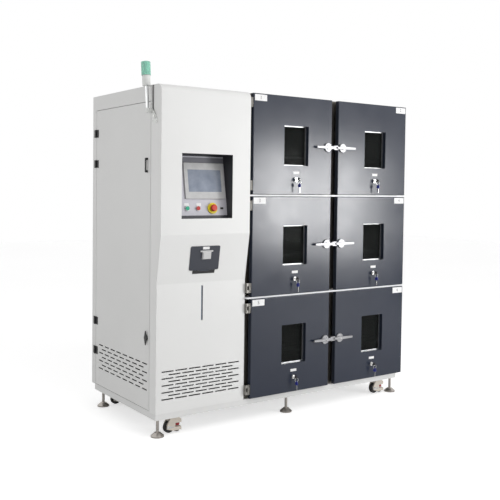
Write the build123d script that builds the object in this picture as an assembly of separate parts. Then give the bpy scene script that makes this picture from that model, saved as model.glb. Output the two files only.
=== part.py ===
from build123d import *

import os

# Sample conditioning chamber: a floor cabinet with six test chambers behind separate doors and a
# control column on the left. Drawing axes: X from the cabinet's left side to the right, Y from the
# doors' front plane to the back, Z up from the floor. All sizes in millimetres.

# Cabinet
CABINET_WIDTH = 1793
CABINET_TOP = 1880
CABINET_BACK = 849
SHEET = 2
COVER_SHEET = 1.5
SHEET_BEND = 3
EDGE_BREAK = 1.5

# Base frame: rails deep enough for the caster plates at the front and the back
FOOT_HEIGHT = 98
BASE_HEIGHT = 34
BASE_RAIL = 60
BASE_DEEP_RAIL = 100
BASE_SIDE_INSET = 2
BASE_WALL = 3
BASE_FRONT = 26
BASE_BACK_INSET = 40
BASE_BAYS = 3
PANEL_BOTTOM = FOOT_HEIGHT + BASE_HEIGHT

# Control column front cover: its slope keeps its share of the cabinet's height
COLUMN_WIDTH = 568
UPPER_FRONT = -17
LOWER_FRONT = 24
SLOPE_TOP_SHARE = 0.54634
SLOPE_HEIGHT = 263
SLOPE_TOP = PANEL_BOTTOM + SLOPE_TOP_SHARE * (CABINET_TOP - PANEL_BOTTOM)
SLOPE_BOTTOM = SLOPE_TOP - SLOPE_HEIGHT
ROLL_RADIUS = 42
COVER_DEPTH_BACK = 84
CABLE_NOTCH_WIDTH = 20
CABLE_NOTCH_HEIGHT = 145

# Vents: rows of slots laid like bricks
FRONT_VENT_LEFT = 36
FRONT_VENT_WIDTH = 496
FRONT_VENT_TOP = 356
FRONT_VENT_ROWS = 9
FRONT_VENT_SLOTS = 6
FRONT_VENT_PITCH_Z = 18.7
FRONT_SLOT_SHARE = 0.865
SIDE_VENT_FRONT = 122
SIDE_VENT_WIDTH = 624
SIDE_VENT_TOP = 384
SIDE_VENT_ROWS = 7
SIDE_VENT_SLOTS = 8
SIDE_VENT_PITCH_Z = 23.4
SIDE_SLOT_SHARE = 0.72
REAR_VENT_MARGIN = 70
REAR_VENT_TOP = 620
REAR_VENT_ROWS = 6
REAR_VENT_SLOTS = 4
REAR_VENT_PITCH_Z = 30
REAR_SLOT_SHARE = 0.8
SLOT_HEIGHT = 7

# Control recess and what it carries
RECESS_LEFT = 126
RECESS_WIDTH = 323
RECESS_RISE = 86
RECESS_BOTTOM = SLOPE_TOP + RECESS_RISE
RECESS_HEIGHT = 349
RECESS_DEPTH_TOP = 106
RECESS_DEPTH_BOTTOM = 49
RECESS_FLANGE = 12
SCREEN_UNIT_WIDTH = 258
SCREEN_UNIT_HEIGHT = 200
SCREEN_UNIT_DEPTH = 34
SCREEN_UNIT_PROUD = 8
SCREEN_UNIT_CORNER = 6
SCREEN_BODY_STEP = 9
SCREEN_OFFSET_X = 26
SCREEN_OFFSET_UP = 29
GLASS_WIDTH = 212
GLASS_HEIGHT = 123
GLASS_DEPTH = 2
BUTTON_DROP = 123
GREEN_OFFSET = -95
RED_OFFSET = -27
ESTOP_OFFSET = 65
SOCKET_OFFSET = 128
BUTTON_RADIUS = 11.5
BUTTON_PROUD = 9
BUTTON_SHANK_RADIUS = 6
BUTTON_SHANK_BACK = 18
BUTTON_SKIRT = 4
BEZEL_RADIUS = 14.5
BEZEL_PROUD = 5
ESTOP_RADIUS = 19
ESTOP_PROUD = 29
ESTOP_COLLAR_RADIUS = 30
ESTOP_COLLAR_PROUD = 8
ESTOP_STEM_RADIUS = 10
ESTOP_TRAVEL = 5
ESTOP_DOME = 6
SOCKET_WIDTH = 18
SOCKET_HEIGHT = 10
SOCKET_PROUD = 3
SOCKET_WALL = 2.5

# Filler flap, water tank and level window
FLAP_WIDTH = 186
FLAP_HEIGHT = 134
FLAP_THICKNESS = 3
FLAP_CENTRE_X = 284
FLAP_CENTRE_UP = 2
FLAP_CORNER_RADIUS = 8
FLAP_OPENING_MARGIN = 14
FLAP_BARREL_RADIUS = 3
FLAP_PIN_RADIUS = 1.5
FLAP_KNUCKLE = 60
FLAP_HINGE_WIDTH = 140
FLAP_HINGE_LEAF = 13
CATCH_OFFSET_X = 6.5
CATCH_OFFSET_UP = 15
CATCH_WIDTH = 54
CATCH_HEIGHT = 40
CATCH_PROUD = 12
CATCH_LIP_WIDTH = 79
CATCH_LIP_HEIGHT = 8
CATCH_LIP_PROUD = 5
LEVEL_WINDOW_X = 283
LEVEL_WINDOW_WIDTH = 11
LEVEL_WINDOW_DROP = 19
LEVEL_WINDOW_HEIGHT = 191
LEVEL_TUBE_RADIUS = 7
LEVEL_TUBE_MARGIN = 14
TANK_WIDTH = 220
TANK_FRONT = 46
TANK_DEPTH = 160
TANK_RISE = 36
TANK_HEIGHT = 270
TANK_TOP = SLOPE_BOTTOM + TANK_RISE
TANK_BOTTOM = TANK_TOP - TANK_HEIGHT
TANK_CORNER = 12
TANK_NECK_RADIUS = 24
TANK_NECK_HEIGHT = 60
TANK_ELBOW_RADIUS = 5
TANK_SHELF = 4
TANK_SHELF_FRONT = 86

# Left side frame and service door
SIDE_FRAME_THICKNESS = 24
SERVICE_DOOR_FRONT = 99
SERVICE_REAR_STILE = 54
SERVICE_TOP_STILE = 87
SERVICE_DOOR_BOTTOM = 138
SERVICE_DOOR_BACK = CABINET_BACK - SERVICE_REAR_STILE
SERVICE_DOOR_TOP = CABINET_TOP - SERVICE_TOP_STILE
SERVICE_DOOR_THICKNESS = 16
SERVICE_DOOR_GAP = 3
SERVICE_DOOR_LIP = 14
STIFFENER_DEPTH = 10
STIFFENER_WIDTH = 40
STIFFENER_HEIGHTS = (700, 1220)
SERVICE_HINGE_RADIUS = 5
SERVICE_HINGE_PIN = 2.5
SERVICE_HINGE_HEIGHT = 46
SERVICE_HINGE_KNUCKLE = 18
SERVICE_HINGE_LEAF = 24
SERVICE_HINGE_HEIGHTS = (344, 525, CABINET_TOP - 406, CABINET_TOP - 224)
PULL_Y = 133
PULL_DROP = 384
PULL_HEIGHT = 79
PULL_TOP = CABINET_TOP - PULL_DROP
PULL_BOTTOM = PULL_TOP - PULL_HEIGHT
PULL_WIDTH = 10
PULL_PROUD = 14
PULL_GRIP = 5
PULL_POST = 12
SERVICE_LOCK_Y = 126
SERVICE_LOCK_Z = 528
SERVICE_LOCK_LENGTH = 78
SERVICE_LOCK_HUB_RADIUS = 13
SERVICE_LOCK_PROUD = 12
SERVICE_LOCK_SPINDLE = 6
SERVICE_CAM_BACK = 30
SERVICE_CAM_REACH = 13

# Signal lamp on its folding bracket
LAMP_PIVOT_Y = 48
LAMP_PIVOT_DROP = 168
LAMP_PIVOT_Z = CABINET_TOP - LAMP_PIVOT_DROP
LAMP_PLATE = 3
LAMP_PLATE_HALF = 33
LAMP_PLATE_DROP = 24
LAMP_PIN_RADIUS = 4
LAMP_PIN_HEAD = 7
LAMP_ARM = 5
LAMP_BOSS_RADIUS = 13
LAMP_POLE_X = -30
LAMP_POLE_Y = 77
LAMP_POLE_RADIUS = 8.5
LAMP_POLE_RISE = 20
LAMP_POLE_LENGTH = 144
LAMP_SOCKET_HEIGHT = 26
LAMP_COLLAR_RADIUS = 22
LAMP_COLLAR_HEIGHT = 54
LAMP_LENS_RADIUS = 25
LAMP_LENS_HEIGHT = 74
LAMP_LENS_WALL = 2.5
LAMP_LIGHT_RADIUS = 9
LAMP_LEAN = 5.6

# Doors, and the chamber mouths behind them
DOOR_THICKNESS = 28
DOOR_BOTTOM = 136
DOOR_TOP_GAP = 2
DOOR_ROW_GAP = 11.5
DOOR_LEFT_GAP = 29
DOOR_CENTRE_GAP = 53
DOOR_OVERHANG = 21
FRAME_FACE = 46
FRAME_RIM = 20
ROW_STRIP_FRONT = 3
ROW_STRIP_CLEARANCE = 1.5
DOOR_PLUG_BACK = 44
DOOR_CORNER_RADIUS = 3
WINDOW_WIDTH = 181
WINDOW_HEIGHT = 232
WINDOW_OFFSET = 20
PANE_FRONT = 33
PANE_THICKNESS = 5
PANE_LAP = 12
CHAMBER_SIDE_MARGIN = 71
CHAMBER_END_MARGIN = 66.5
CHAMBER_BACK = CABINET_BACK - 209
CHAMBER_WALL = 2
LINER_FLANGE = 14
GASKET_WIDTH = 22
PLUG_CLEARANCE = 10
DUCT_FRONT = CHAMBER_BACK - 80
DUCT_SLOTS = 6
DUCT_SLOT_WIDTH = 300
DUCT_SLOT_HEIGHT = 14
SHELF_DROP = 60
SHELF_EDGE = 14
SHELF_FRONT = 80
SHELF_SIDE_GAP = 6
SHELF_SLOTS = 5
SHELF_SLOT_SHARE = 0.5
RAIL_SIZE = 12

# Door hinges, latches and locks
HINGE_BARREL_RADIUS = 6
HINGE_PIN_RADIUS = 3
HINGE_HEIGHT = 56
HINGE_KNUCKLE = 20
HINGE_INSET = 52
HINGE_LEAF = 2.5
HINGE_TAB = 3
HINGE_WEB = 4
LEFT_PIVOT_GAP = 9
LEFT_PIVOT_Y = 9
LEFT_LEAF_MARGIN = 2
RIGHT_PIVOT_INSET = 10
RIGHT_PIVOT_Y = 38
RIGHT_LEAF_WIDTH = 26
RIGHT_TAB_DEPTH = 40
LATCH_INSET = 32
LATCH_HUB_RADIUS = 27
LATCH_HUB_THICKNESS = 9
LATCH_BOSS_RADIUS = 14
LATCH_BAR_HEIGHT = 18
LATCH_BAR_END = 13
LATCH_BAR_CORNER = 4
LATCH_BAR_THICKNESS = 8
LATCH_BAR_BACK = 13
LATCH_ARM = 96
LATCH_TONGUE = 52
LATCH_SPINDLE_RADIUS = 7
LATCH_WASHER_RADIUS = 11
LATCH_WASHER = 3
KEEPER_WIDTH = 38
KEEPER_HEIGHT = 27
KEEPER_PLATE = 4
KEEPER_PLATE_HEIGHT = 66
LOCK_DROP = 198
LOCK_COLLAR_RADIUS = 12
LOCK_COLLAR = 3
LOCK_PLUG_RADIUS = 8
LOCK_BODY_RADIUS = 9.8
LOCK_BODY_BACK = 20
KEY_THICKNESS = 2.5
KEY_BOW = 24
KEY_NECK = 8
KEY_REACH = 34
KEY_LENGTH = 54
KEY_HOLE_RADIUS = 2.6
KEY_HOLE_MARGIN = 6
KEY_RING_RADIUS = 12
KEY_RING_WIRE = 1.1

# Feet and casters
FOOT_INSET_X = 36
FOOT_FRONT_Y = 66
FOOT_BACK_Y = CABINET_BACK - 89
FOOT_PAD_RADIUS = 36
FOOT_PAD_EDGE = 7
FOOT_STEM_RADIUS = 8
FOOT_PAD_HEIGHT = 24
FOOT_NUT_RADIUS = 13
FOOT_STEM_TOP = 124
JAM_NUT_RADIUS = 14
JAM_NUT_HEIGHT = 9
CASTER_INSET_X = 140
CASTER_FRONT_Y = 84
CASTER_BACK_Y = CABINET_BACK - 96
CASTER_FLOOR_GAP = 4
CASTER_PLATE = 5
CASTER_PLATE_SIZE = 84
CASTER_COLLAR = 6
CASTER_COLLAR_RADIUS = 24
CASTER_STUD_RADIUS = 6
CASTER_STUD_HEAD = 9
CASTER_WIDTH = 46
CASTER_FRONT = 42
CASTER_REAR = 46
CASTER_SKIRT = 12
CASTER_ROOF = 12
WHEEL_RADIUS = 32
WHEEL_WIDTH = 22
WHEEL_TRAIL = 26
WHEEL_EDGE = 3
WHEEL_RIM = 9
WHEEL_DISH = 4
WHEEL_HUB = 5
WHEEL_SLOT_GAP = 3
AXLE_RADIUS = 5
THUMB_WHEEL_RADIUS = 16
THUMB_WHEEL_THICKNESS = 11
THUMB_WHEEL_X = 24
THUMB_WHEEL_Z = 46
THUMB_WINDOW = 20
THUMB_SCREW_RADIUS = 5
THUMB_PAD_RADIUS = 13
THUMB_PAD_HEIGHT = 8

# Machine bay
TRAY_LEFT = 26
TRAY_RIGHT = COLUMN_WIDTH - 2
TRAY_FRONT = 90
TRAY_BACK = CABINET_BACK - 29
TRAY_RIM = 22
TRAY_TOP = PANEL_BOTTOM + SHEET
CONDENSER_LEFT = 60
CONDENSER_RIGHT = 480
CONDENSER_FRONT = 112
CONDENSER_DEPTH = 44
CONDENSER_HEIGHT = 250
CONDENSER_FINS = 18
CONDENSER_TUBES = 4
SHROUD_DEPTH = 32
FAN_RADIUS = 105
FAN_MOTOR_RADIUS = 34
FAN_GUARD_BARS = 4
COMPRESSOR_XS = (170, 410)
COMPRESSOR_Y = CABINET_BACK - 189
COMPRESSOR_RADIUS = 76
COMPRESSOR_HEIGHT = 230
COMPRESSOR_FOOT = 14
RECEIVER_Y = 400
RECEIVER_RADIUS = 45
PIPE_RADIUS = 5
PIPE_TOP = 290

# Control gear
GEAR_FRONT = 240
GEAR_BACK = CABINET_BACK - 69
GEAR_HEIGHT = 750
GEAR_TOP = CABINET_TOP - 90
GEAR_BOTTOM = GEAR_TOP - GEAR_HEIGHT
GEAR_PITCH = 210
GEAR_RAIL = 8
DEVICE_HEIGHT = 86
BREAKER_COUNT = 14
BREAKER_WIDTH = 18
BREAKER_DEPTH = 62
CONTACTOR_COUNT = 7
CONTACTOR_WIDTH = 46
CONTACTOR_DEPTH = 84
DUCT_SIZE = 40
DUCT_COUNT = 3
CONTROLLER_WIDTH = 260
CONTROLLER_HEIGHT = 150
CONTROLLER_DEPTH = 90

# Clearances
SHAFT_CLEARANCE = 0.05
FACE_CLEARANCE = 0.3
HOLE_CLEARANCE = 0.5

ROWS = ("lower", "middle", "upper")
SIDES = ("left", "right")
DOOR_HEIGHT = (CABINET_TOP - DOOR_TOP_GAP - DOOR_BOTTOM - 2 * DOOR_ROW_GAP) / 3
ROW_PITCH = DOOR_HEIGHT + DOOR_ROW_GAP
DOOR_LEFT_EDGE = COLUMN_WIDTH + DOOR_LEFT_GAP
DOORS_RIGHT = CABINET_WIDTH + DOOR_OVERHANG
DOOR_WIDTH = (DOORS_RIGHT - DOOR_LEFT_EDGE - DOOR_CENTRE_GAP) / 2
RIGHT_DOOR_LEFT = DOORS_RIGHT - DOOR_WIDTH
CHAMBER_WIDTH = DOOR_WIDTH - 2 * CHAMBER_SIDE_MARGIN
CHAMBER_HEIGHT = DOOR_HEIGHT - 2 * CHAMBER_END_MARGIN
POST_CENTRE = DOOR_LEFT_EDGE + DOOR_WIDTH + DOOR_CENTRE_GAP / 2
LEFT_PIVOT = (DOOR_LEFT_EDGE - LEFT_PIVOT_GAP, LEFT_PIVOT_Y)
RIGHT_PIVOT = (DOORS_RIGHT - RIGHT_PIVOT_INSET, RIGHT_PIVOT_Y)
SERVICE_PIVOT = (-SERVICE_HINGE_RADIUS - HOLE_CLEARANCE, SERVICE_DOOR_BACK + SERVICE_DOOR_GAP / 2)

nodes = {}


def keep(name, *pieces):
    """Adds pieces to the named node."""
    nodes.setdefault(name, []).extend(pieces)


def block(x0, x1, y0, y1, z0, z1):
    """A box given by its six faces."""
    return Pos((x0 + x1) / 2, (y0 + y1) / 2, (z0 + z1) / 2) * Box(x1 - x0, y1 - y0, z1 - z0)


def rod_x(y, z, x0, x1, radius):
    return Pos((x0 + x1) / 2, y, z) * Rot(0, 90, 0) * Cylinder(radius, x1 - x0)


def rod_y(x, z, y0, y1, radius):
    return Pos(x, (y0 + y1) / 2, z) * Rot(90, 0, 0) * Cylinder(radius, y1 - y0)


def rod_z(x, y, z0, z1, radius):
    return Pos(x, y, (z0 + z1) / 2) * Cylinder(radius, z1 - z0)


def side_profile(points, x0, x1):
    """A straight-sided outline in the side view, carried from x0 to x1."""
    face = Plane.YZ * make_face(Polyline(*points, close=True))
    return Pos(x0, 0, 0) * extrude(face, x1 - x0, dir=(1, 0, 0))


def front_profile(points, y0, y1):
    """A straight-sided outline in the front view, carried from y0 to y1."""
    face = Plane.XZ * make_face(Polyline(*points, close=True))
    return Pos(0, y0, 0) * extrude(face, y1 - y0, dir=(0, 1, 0))


def turned(points):
    """A body turned about Z from half of its outline, as (radius, height) points."""
    return revolve(Plane.XZ * make_face(Polyline(*points, close=True)), Axis.Z)


def front_box(cx, cz, width, height, y0, y1):
    """A box centred on cx and cz in the front view."""
    return block(cx - width / 2, cx + width / 2, y0, y1, cz - height / 2, cz + height / 2)


def front_ring(cx, cz, width, height, wall, y0, y1):
    """A rectangular ring around a clear width and height."""
    outer = front_box(cx, cz, width + 2 * wall, height + 2 * wall, y0, y1)
    return outer - front_box(cx, cz, width, height, y0, y1)


def door_x(side):
    """Left edge of a door."""
    return DOOR_LEFT_EDGE if side == "left" else RIGHT_DOOR_LEFT


def door_z(row):
    """Bottom edge of a door."""
    return DOOR_BOTTOM + ROWS.index(row) * ROW_PITCH


def door_centre(side, row):
    return door_x(side) + DOOR_WIDTH / 2, door_z(row) + DOOR_HEIGHT / 2


def each_door():
    return [(side, row) for row in ROWS for side in SIDES]


def brick_slots(across, start, width, top, rows, slots, pitch_z, share):
    """Slot boxes in brick rows. across(a0, a1, z0, z1) makes one slot from its bounds."""
    pitch = width / (slots - 1 + share)
    made = []
    for row in range(rows):
        shift = row % 2
        z = top - row * pitch_z
        for i in range(slots - shift):
            a = start + (i + shift / 2) * pitch
            made.append(across(a, a + share * pitch, z - SLOT_HEIGHT / 2, z + SLOT_HEIGHT / 2))
    return made


# Base frame: a deck with channel rails below it, weld nuts for the feet and caster plates

def foot_places():
    right = DOORS_RIGHT - FOOT_INSET_X
    xs = {"left": FOOT_INSET_X, "middle": (FOOT_INSET_X + right) / 2, "right": right}
    ys = {"front": FOOT_FRONT_Y, "rear": FOOT_BACK_Y}
    return {f"{end}_{across}": (x, y) for end, y in ys.items() for across, x in xs.items()}


def caster_places():
    xs = {"left": CASTER_INSET_X, "right": DOORS_RIGHT - CASTER_INSET_X}
    ys = {"front": CASTER_FRONT_Y, "rear": CASTER_BACK_Y}
    return {f"{end}_{across}": (x, y) for end, y in ys.items() for across, x in xs.items()}


def base_frame():
    x0, x1 = BASE_SIDE_INSET, CABINET_WIDTH - BASE_SIDE_INSET
    y0, y1 = BASE_FRONT, CABINET_BACK - BASE_BACK_INSET
    w = BASE_WALL
    under_deck = PANEL_BOTTOM - w
    bay = (x1 - x0 - (BASE_BAYS + 1) * BASE_RAIL) / BASE_BAYS
    channels = block(x0 + w, x1 - w, y0 + w, y1 - w, FOOT_HEIGHT, under_deck)
    frame = block(x0, x1, y0, y1, FOOT_HEIGHT, PANEL_BOTTOM)
    for i in range(BASE_BAYS):
        left = x0 + BASE_RAIL + i * (bay + BASE_RAIL)
        front, back = y0 + BASE_DEEP_RAIL, y1 - BASE_DEEP_RAIL
        channels -= block(left - w, left + bay + w, front - w, back + w, FOOT_HEIGHT, under_deck)
        frame -= block(left, left + bay, front, back, FOOT_HEIGHT, under_deck)
    frame -= channels
    for x, y in foot_places().values():
        frame += rod_z(x, y, FOOT_HEIGHT, under_deck, FOOT_NUT_RADIUS)
        frame -= rod_z(x, y, FOOT_HEIGHT, under_deck, FOOT_STEM_RADIUS + SHAFT_CLEARANCE)
    keep("base_frame", frame)
    for x, y in caster_places().values():
        keep("base_frame", caster_plate(x, y))


def caster_plate(x, y):
    """The fixed top plate and bearing collar that a caster swivels in."""
    half = CASTER_PLATE_SIZE / 2
    low = FOOT_HEIGHT - CASTER_PLATE
    plate = block(x - half, x + half, y - half, y + half, low, FOOT_HEIGHT)
    collar = rod_z(x, y, low - CASTER_COLLAR, low, CASTER_COLLAR_RADIUS)
    bore = rod_z(x, y, low - CASTER_COLLAR, FOOT_HEIGHT, CASTER_STUD_RADIUS + SHAFT_CLEARANCE)
    return plate + collar - bore


def levelling_feet():
    r = FOOT_STEM_RADIUS
    pad = turned([(0, 0), (FOOT_PAD_RADIUS, 0), (FOOT_PAD_RADIUS, FOOT_PAD_EDGE),
                  (2 * r, FOOT_PAD_HEIGHT), (r, FOOT_PAD_HEIGHT), (r, FOOT_STEM_TOP), (0, FOOT_STEM_TOP)])
    nut_top = FOOT_HEIGHT - FACE_CLEARANCE
    nut = Pos(0, 0, nut_top - JAM_NUT_HEIGHT) * extrude(RegularPolygon(JAM_NUT_RADIUS, 6), JAM_NUT_HEIGHT)
    nut -= rod_z(0, 0, 0, nut_top, r)
    for place, (x, y) in foot_places().items():
        keep(f"foot_{place}", Pos(x, y, 0) * pad, Pos(x, y, 0) * nut)


# Casters: a swivelling housing, its wheel, and a thumb-wheel that screws a pad down

def caster_housing():
    roof = FOOT_HEIGHT - CASTER_PLATE - CASTER_COLLAR - FACE_CLEARANCE
    low = CASTER_FLOOR_GAP + CASTER_SKIRT
    axle_z = CASTER_FLOOR_GAP + WHEEL_RADIUS
    half, slot = CASTER_WIDTH / 2, WHEEL_WIDTH / 2 + WHEEL_SLOT_GAP
    reach = WHEEL_RADIUS + WHEEL_SLOT_GAP
    body = front_profile([(-CASTER_REAR, low + CASTER_SKIRT), (-CASTER_REAR, axle_z + CASTER_ROOF),
                          (-WHEEL_TRAIL, roof), (WHEEL_TRAIL, roof), (CASTER_FRONT, roof - CASTER_ROOF),
                          (CASTER_FRONT, low), (-AXLE_RADIUS, low)], -half, half)
    body -= rod_y(-WHEEL_TRAIL, axle_z, -slot, slot, reach)
    body -= block(-CASTER_REAR, -WHEEL_TRAIL, -slot, slot, 0, axle_z + reach)
    body -= block(THUMB_WHEEL_X - THUMB_WINDOW, CASTER_FRONT, -half, half,
                  THUMB_WHEEL_Z - THUMB_WHEEL_THICKNESS, THUMB_WHEEL_Z + THUMB_WHEEL_THICKNESS)
    body -= rod_z(THUMB_WHEEL_X, 0, low, roof, THUMB_SCREW_RADIUS)
    body += rod_z(THUMB_WHEEL_X, 0, roof - 2 * EDGE_BREAK, roof, THUMB_SCREW_RADIUS)
    body += rod_y(-WHEEL_TRAIL, axle_z, -half, half, AXLE_RADIUS)
    body += rod_z(0, 0, roof, FOOT_HEIGHT + HOLE_CLEARANCE, CASTER_STUD_RADIUS)
    body += rod_z(0, 0, FOOT_HEIGHT + HOLE_CLEARANCE, FOOT_HEIGHT + CASTER_COLLAR, CASTER_STUD_HEAD)
    return body


def thumb_wheel():
    x, half = THUMB_WHEEL_X, THUMB_WHEEL_THICKNESS / 2
    wheel = rod_z(x, 0, THUMB_WHEEL_Z - half, THUMB_WHEEL_Z + half, THUMB_WHEEL_RADIUS)
    wheel = chamfer(wheel.edges().filter_by(GeomType.CIRCLE), EDGE_BREAK)
    pad_top = CASTER_FLOOR_GAP + CASTER_SKIRT - EDGE_BREAK
    screw = rod_z(x, 0, pad_top - THUMB_PAD_HEIGHT / 2, THUMB_WHEEL_Z + CASTER_SKIRT, THUMB_SCREW_RADIUS)
    return wheel + screw + rod_z(x, 0, pad_top - THUMB_PAD_HEIGHT, pad_top, THUMB_PAD_RADIUS)


def caster_wheel():
    axle_z = CASTER_FLOOR_GAP + WHEEL_RADIUS
    half = WHEEL_WIDTH / 2
    wheel = rod_y(-WHEEL_TRAIL, axle_z, -half, half, WHEEL_RADIUS)
    wheel = chamfer(wheel.edges().filter_by(GeomType.CIRCLE), WHEEL_EDGE)
    for y0, y1 in ((-half, -half + WHEEL_DISH), (half - WHEEL_DISH, half)):
        dish = rod_y(-WHEEL_TRAIL, axle_z, y0, y1, WHEEL_RADIUS - WHEEL_RIM)
        wheel -= dish - rod_y(-WHEEL_TRAIL, axle_z, y0, y1, AXLE_RADIUS + WHEEL_HUB)
    return wheel - rod_y(-WHEEL_TRAIL, axle_z, -half, half, AXLE_RADIUS + SHAFT_CLEARANCE)


def casters():
    housing, thumb, wheel = caster_housing(), thumb_wheel(), caster_wheel()
    for place, (x, y) in caster_places().items():
        keep(f"caster_{place}", Pos(x, y, 0) * housing, Pos(x, y, 0) * thumb)
        keep(f"wheel_{place}", Pos(x, y, 0) * wheel)


# Column front cover: one formed sheet with a rolled top, an upper front, a slope and a lower front

def cover_body(inset, x0, x1, back):
    """The cover's side outline, drawn in from the outer face by inset, as a solid bar."""
    front, low = UPPER_FRONT + inset, LOWER_FRONT + inset
    top, bottom = CABINET_TOP - inset, PANEL_BOTTOM + inset
    roll_y, roll_z = UPPER_FRONT + ROLL_RADIUS, CABINET_TOP - ROLL_RADIUS
    outline = Polyline((roll_y, top), (back, top), (back, bottom), (low, bottom), (low, SLOPE_BOTTOM),
                       (front, SLOPE_TOP), (front, roll_z))
    outline += CenterArc((roll_y, roll_z), ROLL_RADIUS - inset, 90, 90)
    face = Plane.YZ * make_face(outline.edges())
    return Pos(x0, 0, 0) * extrude(face, x1 - x0, dir=(1, 0, 0))


def slope_frame():
    """Frame on the slope's outer face at the flap's centre, pointing out of the slope."""
    run, rise = LOWER_FRONT - UPPER_FRONT, SLOPE_TOP - SLOPE_BOTTOM
    middle = (FLAP_CENTRE_X, (LOWER_FRONT + UPPER_FRONT) / 2, (SLOPE_TOP + SLOPE_BOTTOM) / 2)
    plane = Plane(origin=middle, x_dir=(1, 0, 0), z_dir=(0, -rise, -run))
    return plane * Pos(0, FLAP_CENTRE_UP, 0)


def lower_front_slot(x0, x1, z0, z1):
    return block(x0, x1, LOWER_FRONT - SHEET, LOWER_FRONT + 2 * SHEET, z0, z1)


def front_cover():
    outer = cover_body(0, 0, COLUMN_WIDTH, COVER_DEPTH_BACK)
    flanks = outer.faces().group_by(Axis.X)[0].edges() + outer.faces().group_by(Axis.X)[-1].edges()
    back, low = COVER_DEPTH_BACK - SHEET, PANEL_BOTTOM + SHEET
    cover = fillet([e for e in flanks if e.center().Y < back and e.center().Z > low], SHEET_BEND)
    cover -= cover_body(SHEET, SHEET, COLUMN_WIDTH - SHEET, COVER_DEPTH_BACK + SHEET)
    cover -= block(RECESS_LEFT, RECESS_LEFT + RECESS_WIDTH, UPPER_FRONT, UPPER_FRONT + SHEET,
                   RECESS_BOTTOM, RECESS_BOTTOM + RECESS_HEIGHT)
    cover -= slope_frame() * Box(FLAP_WIDTH - 2 * FLAP_OPENING_MARGIN,
                                 FLAP_HEIGHT - 2 * FLAP_OPENING_MARGIN, 4 * SHEET)
    half, top = LEVEL_WINDOW_WIDTH / 2, SLOPE_BOTTOM - LEVEL_WINDOW_DROP
    cover -= lower_front_slot(LEVEL_WINDOW_X - half, LEVEL_WINDOW_X + half, top - LEVEL_WINDOW_HEIGHT, top)
    cover -= brick_slots(lower_front_slot, FRONT_VENT_LEFT, FRONT_VENT_WIDTH, FRONT_VENT_TOP,
                         FRONT_VENT_ROWS, FRONT_VENT_SLOTS, FRONT_VENT_PITCH_Z, FRONT_SLOT_SHARE)
    cover -= block(0, SHEET, COVER_DEPTH_BACK - CABLE_NOTCH_WIDTH, COVER_DEPTH_BACK,
                   CABINET_TOP - CABLE_NOTCH_HEIGHT, CABINET_TOP - SHEET)
    keep("front_cover", cover, lamp_plate(), flap_hinge_base())


def lamp_plate():
    """Fixed plate on the cover's flank with the pin that the signal lamp folds about."""
    y, z, drop = LAMP_PIVOT_Y, LAMP_PIVOT_Z, LAMP_PLATE_DROP
    low = z - drop - LAMP_BOSS_RADIUS
    plate = side_profile([(y - LAMP_PLATE_HALF, z - drop), (y - LAMP_PLATE_HALF + LAMP_BOSS_RADIUS, low),
                          (y + LAMP_PLATE_HALF - LAMP_BOSS_RADIUS, low), (y + LAMP_PLATE_HALF, z - drop),
                          (y + LAMP_BOSS_RADIUS, z), (y - LAMP_BOSS_RADIUS, z)], -LAMP_PLATE, 0)
    plate += rod_x(y, z, -LAMP_PLATE, 0, LAMP_BOSS_RADIUS)
    arm_end = -LAMP_PLATE - LAMP_ARM - 2 * FACE_CLEARANCE
    plate += rod_x(y, z, arm_end, -LAMP_PLATE, LAMP_PIN_RADIUS)
    return plate + rod_x(y, z, arm_end - LAMP_PLATE, arm_end, LAMP_PIN_HEAD)


def signal_lamp():
    """Arm, pole, collar and lens, made upright about the pivot and then leaned back."""
    x, y = LAMP_POLE_X, LAMP_POLE_Y - LAMP_PIVOT_Y
    foot, head = LAMP_POLE_RISE, LAMP_POLE_RISE + LAMP_POLE_LENGTH
    r, boss = LAMP_POLE_RADIUS, LAMP_BOSS_RADIUS
    arm_x = -LAMP_PLATE - FACE_CLEARANCE
    top = foot + LAMP_SOCKET_HEIGHT
    arm = side_profile([(-boss / 2, -boss), (boss, -boss / 2), (y + r, foot), (y + r, top), (y - r, top),
                        (-boss, boss / 2)], arm_x - LAMP_ARM, arm_x)
    arm += rod_x(0, 0, arm_x - LAMP_ARM, arm_x, boss)
    arm -= rod_x(0, 0, arm_x - LAMP_ARM, arm_x, LAMP_PIN_RADIUS + SHAFT_CLEARANCE)
    arm += block(x, arm_x, y - r, y + r, foot, top)
    arm += rod_z(x, y, foot, top, r + LAMP_PLATE)
    arm -= block(arm_x, 0, y - boss, y + boss, foot, top)
    pole = rod_z(x, y, foot, head, r)
    arm -= pole
    collar = rod_z(x, y, head, head + LAMP_COLLAR_HEIGHT, LAMP_COLLAR_RADIUS)
    collar = chamfer(collar.edges().filter_by(GeomType.CIRCLE), EDGE_BREAK)
    lens_foot = head + LAMP_COLLAR_HEIGHT
    lens = Pos(x, y, lens_foot) * lamp_lens()
    light = rod_z(x, y, lens_foot + LAMP_LENS_WALL, lens_foot + LAMP_LENS_HEIGHT - 4 * LAMP_LENS_WALL,
                  LAMP_LIGHT_RADIUS)
    place = Pos(0, LAMP_PIVOT_Y, LAMP_PIVOT_Z) * Rot(-LAMP_LEAN, 0, 0)
    keep("signal_lamp", *[place * piece for piece in (arm, pole, collar, lens, light)])


def lamp_lens():
    """A closed clear cap."""
    w = LAMP_LENS_WALL
    cap = rod_z(0, 0, 0, LAMP_LENS_HEIGHT, LAMP_LENS_RADIUS)
    cap = fillet(cap.edges().filter_by(GeomType.CIRCLE).sort_by(Axis.Z)[-1], 2 * w)
    return cap - rod_z(0, 0, w, LAMP_LENS_HEIGHT - 2 * w, LAMP_LENS_RADIUS - w)


# Filler flap on the slope, hinged along its lower edge

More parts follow.
